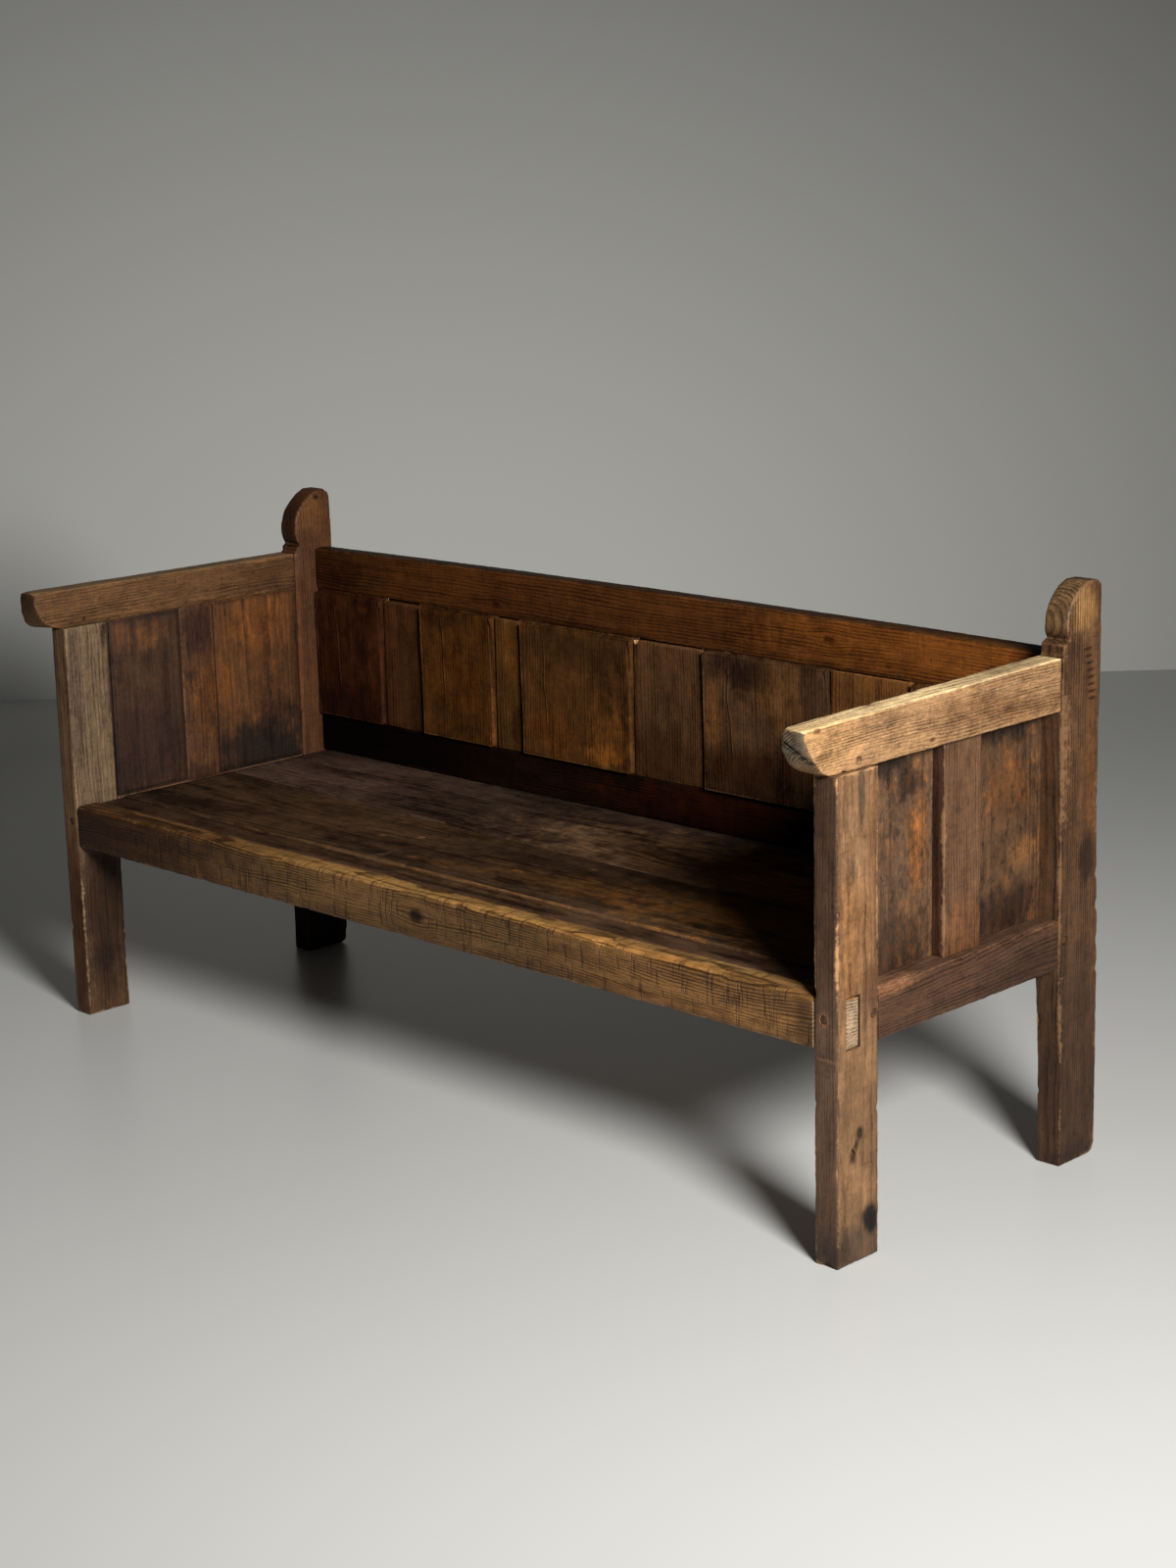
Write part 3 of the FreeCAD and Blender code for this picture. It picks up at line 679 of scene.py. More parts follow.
def oak(name, colour, grain="X", heart=(0.0, 0.0, 0.0), spacing=6.0, wander=0.02,
        rings=0.4, fibre=0.4, cloud=0.4, mottle=0.35, speckle=0.3, pores=0.5, tools=0.15, grime=0.3, wear=0.5,
        dirt=0.0, rust=0.0, faces=(), stains_and_painted_light=(), knots=(), scratches=0.0, roughness=0.55, relief=0.5,
        sheen=0.25,
        seed=0.0):
    """Old oak of one of the set colours. The heart of its tree is a point in millimetres."""
    colours = bpy.context.scene.settle_colours
    base = tuple(c * m for c, m in zip(getattr(colours, colour), SHADES.get(name, (1.0, 1.0, 1.0))))
    dark = tuple(c * m for c, m in zip(base, DARK_GRAIN))
    light = tuple(c * m for c, m in zip(base, LIGHT_GRAIN))
    worn = tuple(min(0.8, c * m + 0.008) for c, m in zip(base, WORN_EDGE))
    material = bpy.data.materials.new(name)
    material.use_nodes = True
    tree = material.node_tree
    g = Graph(tree)
    shader = tree.nodes["Principled BSDF"]
    here = g.node("ShaderNodeTexCoord").outputs["Object"]
    parts = g.node("ShaderNodeSeparateXYZ", {"Vector": here}).outputs
    order = {"X": "XYZ", "Y": "YZX", "Z": "ZXY"}[grain]
    along = g.node("ShaderNodeCombineXYZ", dict(zip("XYZ", [parts[letter] for letter in order]))).outputs[0]
    middle = at(*heart)
    vector = g.vector("SUBTRACT", along, tuple(middle[AXES[letter]] for letter in order))
    eyes = []
    for x, depth, z, radius in knots:
        centre = at(x, depth, z)
        away = g.vector("SUBTRACT", along, tuple(centre[AXES[letter]] for letter in order))
        eye = g.node("ShaderNodeGroup", node_tree=knot_group())
        for key, value in (("Vector", vector), ("Place", away), ("Radius", radius * MM)):
            g.feed(eye.inputs[key], value)
        vector = eye.outputs["Vector"]
        eyes.append(eye.outputs["Mask"])
    figure = g.node("ShaderNodeGroup", node_tree=oak_figure())
    for key, value in (("Vector", vector), ("Spacing", spacing * MM), ("Wander", wander),
                       ("Seed", (seed * 1.37, seed * 0.61, seed * 2.13))):
        g.feed(figure.inputs[key], value)
    figure = figure.outputs
    light_share = g.math("SUBTRACT", 0.47,
                         g.math("MULTIPLY", g.math("SUBTRACT", figure["Rings"], 0.25), rings))
    for layer, amount in (("Fibre", fibre), ("Cloud", cloud), ("Mottle", mottle), ("Speckle", speckle)):
        light_share = g.math("ADD", light_share, g.math("MULTIPLY", figure[layer], amount))
    paint = g.mix(g.math("ADD", light_share, 0.0, clamp=True), dark, light)
    paint = g.tint(paint, g.math("MULTIPLY", figure["Pores"], pores), (0.4, 0.35, 0.32))
    paint = g.tint(paint, g.math("MULTIPLY", figure["Tools"], tools), (0.35, 0.3, 0.28))
    flecks = None
    if rust:
        region = g.between(g.noise(here, (9.0, 9.0, 5.0), 4.0, 0.6, 0.5), 0.4, 0.6)
        flecks = g.noise(here, (62.0, 62.0, 36.0), 8.0, 0.74, 0.5)
        orange = g.math("MULTIPLY", g.between(flecks, 0.5, 0.6), g.math("MULTIPLY", region, rust))
        paint = g.tint(paint, orange, (2.2, 1.7, 1.0) if rust > 0.7 else (1.9, 1.7, 1.2))
        paint = g.tint(paint, g.math("MULTIPLY", g.between(flecks, 0.48, 0.38), rust), (0.42, 0.42, 0.5))
    # Patches that tint the colour: real stains, and also painted light and painted shade, as noted where each
    # is given.
    for x, depth, z, radii, ragged, by in stains_and_painted_light:
        patch = g.node("ShaderNodeGroup", node_tree=patch_group())
        for key, value in (("Vector", here), ("Centre", at(x, depth, z)),
                           ("Radii", tuple(r * MM for r in radii)), ("Ragged", ragged)):
            g.feed(patch.inputs[key], value)
        paint = g.tint(paint, patch.outputs["Mask"], by)
    # Tints by the way a face points. Where noted at the pieces, these are painted light and shade: lighter
    # tops, darker fronts and ends, and a back lifted out of painted shade. The rest are the wood's own
    # colour, such as grey end grain.
    if faces:
        normal = g.node("ShaderNodeNewGeometry").outputs["Normal"]
        for face, by in faces:
            facing = g.vector("DOT_PRODUCT", normal,
                              tuple(c if face[0] == "+" else -c for c in FACES[face[1]]))
            paint = g.tint(paint, g.between(facing, 0.45, 0.85), by)
    for eye in eyes:
        paint = g.tint(paint, g.math("MULTIPLY", eye, 0.9), (0.28, 0.22, 0.2))
    paint = g.tint(paint, g.math("MULTIPLY", figure["Grime"], grime), GRIME_TINT)
    edge = g.node("ShaderNodeAttribute", attribute_name="wear").outputs["Fac"]
    if dirt:
        crust = g.math("ADD", edge, g.spread(g.noise(here, (60.0, 60.0, 60.0), 5.0, 0.65), 0.9))
        paint = g.tint(paint, g.math("MULTIPLY", g.between(crust, 0.15, 0.8), dirt), GRIME_TINT)
    edge = g.math("ADD", edge, g.spread(g.noise(here, (120.0, 120.0, 120.0), 4.0, 0.65), 1.3))
    edge = g.math("ADD", edge, g.spread(g.noise(here, (9.0, 9.0, 9.0), 2.0), 1.6))
    edge = g.math("MULTIPLY", g.between(edge, 0.7, 1.1), wear)
    paint = g.mix(edge, paint, worn)
    if scratches:
        marks = None
        for turn, stretch in ((0.5, (260.0, 9.0, 40.0)), (-0.7, (9.0, 300.0, 40.0)),
                              (1.2, (240.0, 12.0, 40.0))):
            spun = g.node("ShaderNodeMapping",
                          {"Vector": here, "Rotation": (0.0, 0.0, turn), "Scale": stretch})
            mark = g.between(g.noise(spun.outputs[0], (1.0, 1.0, 1.0), 2.0), 0.66, 0.72)
            marks = mark if marks is None else g.math("MAXIMUM", marks, mark)
        paint = g.mix(g.math("MULTIPLY", marks, scratches), paint, worn)
    g.feed(shader.inputs["Base Color"], paint)
    dull = g.math("ADD", roughness, g.math("MULTIPLY", figure["Cloud"], 0.06))
    dull = g.math("ADD", dull, g.math("MULTIPLY", figure["Pores"], 0.15))
    g.feed(shader.inputs["Roughness"], dull)
    shader.inputs["Specular IOR Level"].default_value = sheen
    height = g.math("MULTIPLY", figure["Rings"], -0.6)
    for layer, amount in (("Fibre", 0.5), ("Pores", -0.8), ("Speckle", 0.3), ("Mottle", 0.5),
                          ("Tools", -tools * 2.0)):
        height = g.math("ADD", height, g.math("MULTIPLY", figure[layer], amount))
    if rust:
        height = g.math("ADD", height, g.spread(flecks, 4.0 * rust))
    bump = g.node("ShaderNodeBump", {"Height": height, "Strength": relief, "Distance": 0.001})
    g.feed(shader.inputs["Normal"], bump.outputs[0])
    return material


def iron():
    """Rusted nail iron."""
    material = bpy.data.materials.new("rusted_iron")
    material.use_nodes = True
    g = Graph(material.node_tree)
    shader = material.node_tree.nodes["Principled BSDF"]
    here = g.node("ShaderNodeTexCoord").outputs["Object"]
    rust = g.noise(here, (260.0, 260.0, 260.0), 5.0, 0.65)
    g.feed(shader.inputs["Base Color"],
           g.mix(g.between(rust, 0.4, 0.65), (0.03, 0.027, 0.025), (0.12, 0.045, 0.02)))
    g.feed(shader.inputs["Roughness"], g.between(rust, 0.3, 0.7, 0.55, 0.85))
    shader.inputs["Metallic"].default_value = 0.5
    bump = g.node("ShaderNodeBump", {"Height": rust, "Strength": 0.5, "Distance": 0.0006})
    g.feed(shader.inputs["Normal"], bump.outputs[0])
    return material


# Settings that a user would change

class SettleSizes(bpy.types.PropertyGroup):
    edge_wear: bpy.props.FloatProperty(
        name="Edge wear", description="How deeply the arrises are nibbled, against the usual", default=1.0,
        min=0.0,
        max=3.0, subtype="FACTOR")
    waviness: bpy.props.FloatProperty(
        name="Waviness", description="How uneven the hand-worked faces are, against the usual", default=1.0,
        min=0.0,
        max=3.0, subtype="FACTOR")
    floor_reach: bpy.props.FloatProperty(
        name="Floor reach", description="Half the width of the studio floor", default=14.0, unit="LENGTH")
    key_power: bpy.props.FloatProperty(
        name="Key light", description="Power of the large soft lamp", default=205.0, unit="POWER")
    room_light: bpy.props.FloatProperty(
        name="Room light", description="Strength of the even light from all round", default=0.012, min=0.0)


class SettleColours(bpy.types.PropertyGroup):
    bleached_oak: bpy.props.FloatVectorProperty(
        name="Bleached oak", description="Arms and the sides that the light has bleached", subtype="COLOR",
        default=tone(168, 128, 92))
    brown_oak: bpy.props.FloatVectorProperty(
        name="Brown oak", description="Posts and rails", subtype="COLOR", default=tone(112, 76, 50))
    golden_oak: bpy.props.FloatVectorProperty(
        name="Golden oak", description="Panels and top rail of the back", subtype="COLOR",
        default=tone(112, 70, 38))
    dark_oak: bpy.props.FloatVectorProperty(
        name="Dark oak", description="Seat and the timbers in its shade", subtype="COLOR",
        default=tone(70, 47, 32))
    floor_paint: bpy.props.FloatVectorProperty(
        name="Floor", description="Paint of the studio floor", subtype="COLOR", default=(0.72, 0.715, 0.68))
    wall_paint: bpy.props.FloatVectorProperty(
        name="Wall", description="Paint of the studio wall where it is palest", subtype="COLOR",
        default=(0.72, 0.713, 0.665))


# Operators, one for each piece or group of like pieces

# How far a bore's cutter stands out of the face that it cuts
BORE_LIFT = 4.0


def bore(face, centre, radius, deep):
    """Round cutter for a peg hole in a face."""
    index = AXES[face[1]]
    out = 1.0 if face[0] == "+" else -1.0
    middle = at(*centre)
    middle[index] -= out * deep * 0.5 * MM
    lift = Vector((0, 0, 0))
    lift[index] = out * 0.5 * BORE_LIFT * MM
    bpy.ops.object.select_all(action="DESELECT")
    bpy.ops.mesh.primitive_cylinder_add(vertices=20, radius=radius * MM, depth=(deep + BORE_LIFT) * MM,
                                        location=middle + lift, rotation=LAID_ALONG[face[1]])
    bpy.ops.object.transform_apply(location=True, rotation=True, scale=True)
    return bpy.context.object


class SETTLE_OT_front_posts(bpy.types.Operator):
    """Front posts with their mortises, peg holes and scars"""
    bl_idname = "settle.front_posts"
    bl_label = "Front posts"

    def execute(self, context):
        scar = ((950, 47, 212), (950, 56, 203), (950, 53, 193), (950, 43, 187), (950, 33, 181),
                (950, 40, 171),
                (950, 30, 164), (950, 22, 158))
        own_cuts = {
            "left": [
                (crack, "+X", (-903.5, 28, 740), (-903.5, 24, 560), 1.3, 4.0, 2.5, 11, 1),
                (crack, "+X", (-903.5, 62, 700), (-903.5, 66, 470), 1.1, 4.0, 2.0, 11, 2),
                (crack, "+X", (-903.5, 46, 600), (-903.5, 42, 425), 1.0, 3.0, 1.8, 9, 3),
                (crack, "-Y", (-926, 0, 300), (-930, 0, 120), 1.2, 4.0, 1.5, 9, 4),
                (crack, "-Y", (-935, 0, 700), (-931, 0, 560), 1.0, 3.0, 1.5, 9, 5),
            ],
            "right": [
                (groove, "+X", scar, 7.0, 5.0),
                (crack, "+X", (950, 62, 660), (950, 66, 520), 1.0, 3.0, 1.6, 9, 6),
                (crack, "+X", (950, 28, 330), (950, 32, 215), 1.2, 4.0, 1.6, 9, 7),
                (crack, "-Y", (921, 0, 300), (925, 0, 90), 1.4, 4.0, 2.4, 11, 8),
                (crack, "-Y", (934, 0, 240), (938, 0, 30), 1.1, 3.0, 2.0, 11, 9),
                (crack, "-Y", (914, 0, 640), (918, 0, 470), 1.0, 3.0, 1.5, 9, 10),
            ],
        }
        dents = {
            "left": ((-905, 92, 742, 11, 4.0), (-903, 3, 60, 9, 2.5), (-950, 0, 170, 10, 2.5),
                     (-904, 2, 250, 8, 2.5)),
            "right": ((950, 72, 62, 15, 1.6), (950, 96, 480, 8, 3.0), (950, 96, 575, 6, 2.5),
                      (950, 96, 230, 7, 2.5),
                      (950, 1, 150, 8, 2.0), (950, 2, 350, 7, 2.0), (903, 1, 250, 8, 2.5),
                      (903, 0, 420, 9, 3.0),
                      (926, 1, 5, 10, 3.0)),
        }
        looks = {
            "left": dict(
                spacing=5.0, rings=0.35, fibre=0.55, cloud=0.3, heart=(-1000, 130, 0), grime=0.2, relief=0.7,
                wear=0.6, seed=1.0,
                # Painted shade: the -Y tint darkens the front face, and the first patch darkens the inner
                # face below the seat.
                faces=(("-Y", (0.95, 0.82, 0.7)),),
                stains_and_painted_light=(
                    (-903, 50, 200, (60, 75, 215), 0.2, (0.2, 0.135, 0.085)),
                    (-926, 0, 180, (40, 10, 220), 0.3, (0.75, 0.53, 0.36)),
                    (-915, 48, 15, (60, 90, 130), 0.2, (0.5, 0.37, 0.27)),
                    (-903, 20, 600, (10, 20, 160), 0.3, (0.8, 0.8, 0.85)),
                    (-903, 92, 730, (12, 16, 30), 0.4, (0.35, 0.33, 0.33)),
                )),
            "right": dict(
                spacing=5.5, rings=0.3, fibre=0.32, cloud=0.45, heart=(860, 30, 0), wander=0.03, grime=0.3,
                relief=0.6, pores=0.35, wear=0.9, seed=2.0, rust=0.2,
                # Painted shade: the -Y tint darkens the front face, and the three small dark patches along
                # the scar darken its groove.
                faces=(("-Y", (0.48, 0.5, 0.62)),),
                stains_and_painted_light=(
                    (950, 75, 62, (14, 20, 27), 0.5, (0.08, 0.08, 0.09)),
                    (926, 0, 620, (50, 14, 260), 0.2, (0.66, 0.58, 0.55)),
                    (950, 40, 640, (12, 30, 60), 0.8, (1.2, 1.25, 1.3)),
                    (950, 24, 480, (12, 18, 150), 0.6, (1.25, 1.2, 1.1)),
                    (950, 50, 10, (80, 95, 75), 0.3, (0.45, 0.48, 0.55)),
                    (950, 56, 705, (8, 9, 60), 0.6, (0.5, 0.56, 0.62)),
                    (950, 50, 202, (12, 9, 13), 0.5, (0.2, 0.18, 0.18)),
                    (950, 43, 186, (12, 7, 13), 0.5, (0.32, 0.3, 0.28)),
                    (950, 34, 168, (12, 10, 14), 0.5, (0.22, 0.2, 0.2)),
                    (923, 0, 383, (13, 5, 13), 0.2, (1.7, 1.6, 1.5)),
                    (950, 40, 500, (12, 60, 110), 0.4, (1.22, 1.14, 1.0)),
                    (950, 48, 230, (12, 80, 90), 0.4, (0.78, 0.78, 0.76)),
                    (950, 80, 420, (12, 26, 60), 0.5, (0.6, 0.52, 0.5)),
                    (926, 0, 322, (26, 9, 3), 0.3, (1.6, 1.5, 1.4)),
                    (950, 85, 640, (9, 14, 120), 0.4, (0.75, 0.68, 0.62)),
                )),
        }
        for side, top in ARM_UNDERSIDE.items():
            s = SIGN[side]
            name = "front_post_" + side
            x0, x1 = sorted((s * INNER_X, s * END_X))
            p0, p1 = sorted((s * 938.0, s * 953.0))
            o0, o1 = sorted((s * 949.0, s * 951.0))
            cuts = [
                (box_cutter, (p0, 19.5, 335.5), (p1, 52.0, 416.5)),
                (bore, "-Y", (s * 923.0, 0.0, RAIL_PEG_HEIGHT), PEG_HOLE, PEG_HOLE_DEPTH),
                (bore, OUTER_FACE[side], (s * END_X, FRONT_SIDE_PEG, SIDE_PEG_HEIGHT), PEG_HOLE,
                 PEG_HOLE_DEPTH),
            ]
            post = timber(
                name, "Z", squared("Z", 0.0, top, (x0, x1, 0.0, 96.0)), cell=14.0, cross=12.0,
                fine=1, arris=2.5, nibble=0.003, rounds=[((o0, -1.0, 300.0), (o1, 1.0, 450.0), 5.0, 4)],
                dents=dents[side], cuts=cuts + own_cuts[side])
            place(post, "wood_posts", oak(name, "bleached_oak", "Z", **looks[side]), name)
        return {"FINISHED"}


REAR_SECTIONS = {
    # Height, then depth of the front and of the back
    "left": [
        (0.0, 549.0, 638.0), (5.0, 549.0, 648.5), (17.0, 549.0, 654.0), (160.0, 549.0, 654.0),
        (320.0, 557.5, 654.3),
        (416.0, 557.5, 654.5), (660.0, 557.5, 654.5), (776.0, 557.5, 656.0), (822.0, 557.5, 657.3),
        (827.0, 564.0, 657.4), (834.0, 564.0, 657.6), (840.0, 572.0, 657.8), (845.5, 568.5, 657.9),
        (851.5, 565.6, 658.0), (860.0, 563.8, 658.0), (871.0, 563.3, 658.0),
        (884.0, 564.3, 658.0), (895.0, 567.3, 658.0), (904.5, 571.5, 658.0), (913.0, 578.3, 657.8),
        (920.5, 585.5, 657.5), (928.0, 594.0, 657.0), (936.5, 605.5, 653.5),
        (944.5, 622.0, 642.0),
    ],
    "right": [
        (0.0, 556.0, 638.0), (5.0, 556.0, 648.5), (17.0, 556.0, 654.0), (160.0, 556.0, 654.0),
        (320.0, 546.0, 652.8),
        (400.0, 546.0, 651.5), (540.0, 546.0, 646.5), (700.0, 546.0, 645.5), (776.0, 546.0, 647.5),
        (834.5, 546.0, 648.4), (838.5, 549.5, 648.5), (855.0, 549.5, 648.8), (860.5, 564.0, 648.9),
        (866.5, 560.0, 649.0), (872.0, 557.5, 649.0), (881.0, 556.3, 649.3),
        (891.0, 557.0, 649.5), (900.5, 558.6, 649.6), (911.0, 563.3, 649.7), (920.5, 570.3, 649.9),
        (929.0, 578.5, 650.0), (938.5, 590.0, 649.0), (947.8, 612.0, 638.0),
    ],
}


class SETTLE_OT_rear_posts(bpy.types.Operator):
    """Rear posts with their rounded knobs"""
    bl_idname = "settle.rear_posts"
    bl_label = "Rear posts"

    def execute(self, context):
        notch_places = [(612 + number * 2, 841.0 - 11.5 * number) for number in range(8)]
        notches = []
        for depth, z in notch_places:
            path = ((950, depth - 10, z - 3), (950, depth, z), (950, depth + 12, z + 3.5))
            notches.append((groove, "+X", path, 4.2, 2.4))
        # Painted shade: darker patches in the notches of the right knob.
        notch_shade = [(950, depth, z, (8, 13, 3), 0.3, (0.35, 0.32, 0.3)) for depth, z in notch_places]
        own_cuts = {
            "left": [
                (bore, "+X", (-903.5, 620, 930), 3.0, 6.0),
                (crack, "+X", (-903.5, 596, 900), (-903.5, 600, 845), 1.2, 4.0, 1.5, 9, 11),
                (crack, "+X", (-903.5, 580, 760), (-903.5, 584, 560), 1.0, 3.0, 1.6, 9, 12),
            ],
            "right": notches + [
                (crack, "+X", (950, 600, 560), (950, 606, 300), 1.3, 4.0, 2.2, 11, 13),
                (crack, "+X", (950, 574, 300), (950, 579, 90), 1.2, 4.0, 2.0, 11, 14),
                (crack, "+X", (950, 630, 250), (950, 627, 70), 1.2, 4.0, 2.0, 11, 15),
                (crack, "-Y", (909, 546, 326), (909, 556, 30), 3.0, 2.5, 0.8, 11, 16),
                (crack, "-Y", (930, 552, 300), (927, 552, 120), 1.2, 4.0, 2.0, 9, 17),
                (crack, "+X", (950, 582, 890), (950, 588, 790), 1.1, 3.5, 1.6, 9, 18),
            ],
        }
        dents = {
            "left": ((-905, 650, 20, 12, 4.0), (-904, 560, 200, 8, 2.0)),
            "right": (
                (950, 546, 735, 7, 2.5), (950, 546, 700, 6, 2.5), (950, 546, 660, 8, 2.5),
                (950, 546, 610, 6, 2.0),
                (950, 546, 560, 7, 2.5), (950, 546, 500, 8, 2.5), (950, 647, 470, 12, 3.0),
                (950, 648, 420, 10, 3.0),
                (950, 650, 360, 9, 3.0), (950, 652, 315, 8, 3.0), (905, 551, 240, 9, 3.0),
                (905, 555, 120, 8, 2.5), (950, 556, 140, 6, 2.0), (950, 648, 590, 8, 2.5),
            ),
        }
        looks = {
            "left": dict(spacing=5.0, rings=0.4, heart=(-980, 700, 0), rust=0.2, grime=0.3, wear=0.5,
                         # Painted shade: the -Y tint darkens the front face. Of the patches, the first
                         # darkens the post below the seat, the second the bore near the top, and the last the
                         # groove under the knob.
                         seed=3.0, fibre=0.3, faces=(("-Y", (0.45, 0.42, 0.45)),),
                         stains_and_painted_light=((-920, 600, 120, (80, 90, 240), 0.1, (0.12, 0.1, 0.1)),
                                 (-903, 620, 930, (6, 8, 8), 0.3, (0.3, 0.3, 0.3)),
                                 (-903, 560, 640, (9, 10, 160), 0.4, (1.5, 1.35, 1.1)),
                                 (-903, 600, 900, (12, 50, 50), 0.4, (1.7, 1.8, 1.4)),
                                 (-926, 568, 839, (40, 11, 7), 0.5, (0.2, 0.18, 0.18)))),
            "right": dict(spacing=5.5, rings=0.45, heart=(905, 500, 0), wander=0.03, cloud=0.55, grime=0.6,
                          rust=0.3, wear=0.85, seed=4.0,
                          stains_and_painted_light=((950, 620, 500, (20, 26, 46), 0.6, (0.32, 0.3, 0.3)),
                                  (950, 600, 120, (60, 80, 330), 0.2, (0.6, 0.58, 0.62)),
                                  (950, 612, 800, (9, 16, 52), 0.5, (0.75, 0.7, 0.62)),
                                  (950, 600, 0, (60, 90, 45), 0.4, (0.5, 0.5, 0.5)),
                                  (950, 625, 640, (12, 14, 150), 0.5, (1.3, 1.1, 0.85)),
                                  (950, 600, 600, (12, 60, 90), 0.4, (0.85, 0.82, 0.78)),
                                  (926, 554, 180, (40, 14, 240), 0.3, (0.77, 0.75, 0.77)),
                                  (926, 595, 905, (40, 50, 52), 0.4, (2.3, 2.9, 2.9)),
                                  (950, 605, 905, (8, 44, 46), 0.4, (1.5, 1.35, 1.1)),
                                  (926, 546, 700, (30, 9, 300), 0.3, (0.72, 0.66, 0.62)),
                                  *notch_shade)),
        }
        for side, sections in REAR_SECTIONS.items():
            s = SIGN[side]
            x0, x1 = sorted((s * INNER_X, s * END_X))
            tall = [cross_section("Z", z, rectangle(x0, x1, d0, d1)) for z, d0, d1 in sections]
            name = "rear_post_" + side
            peg_place = (s * END_X, REAR_POST_FRONT[side] + REAR_SIDE_PEG, SIDE_PEG_HEIGHT)
            peg_hole = (bore, OUTER_FACE[side], peg_place, PEG_HOLE, PEG_HOLE_DEPTH)
            post = timber(name, "Z", tall, cell=16.0, cross=12.0, fine=1, arris=1.8, nibble=0.0019,
                          rounds=[((-1000.0, 540.0, 885.0), (1000.0, 660.0, 950.0), 4.5, 4)],
                          dents=dents[side], cuts=[*own_cuts[side], peg_hole])
            place(post, "wood_posts", oak(name, "brown_oak", "Z", **looks[side]), name)
        return {"FINISHED"}


ARM_SECTIONS = {
    # Depth, then height of the underside outside and inside, then height of the top
    "left": [
        (-64.5, 793.0, 808.0, 828.4), (-57.0, 768.0, 789.0, 828.3), (-48.5, 760.5, 776.0, 828.2),
        (-38.0, 757.0, 767.0, 828.1), (-24.0, 755.5, 759.5, 828.0),
        (-8.0, 755.0, 755.5, 827.8), (10.0, 755.0, 755.0, 827.6), (557.5, 755.0, 755.0, 824.5),
    ],
    "right": [
        (-67.0, 812.0, 795.0, 825.5), (-59.5, 797.5, 780.0, 826.2), (-50.5, 784.0, 768.5, 826.4),
        (-40.0, 770.0, 761.0, 826.6), (-27.0, 758.0, 755.0, 826.8),
        (-14.0, 752.0, 751.0, 827.0), (0.0, 750.0, 750.0, 827.4), (546.0, 750.0, 750.0, 836.0),
    ],
}


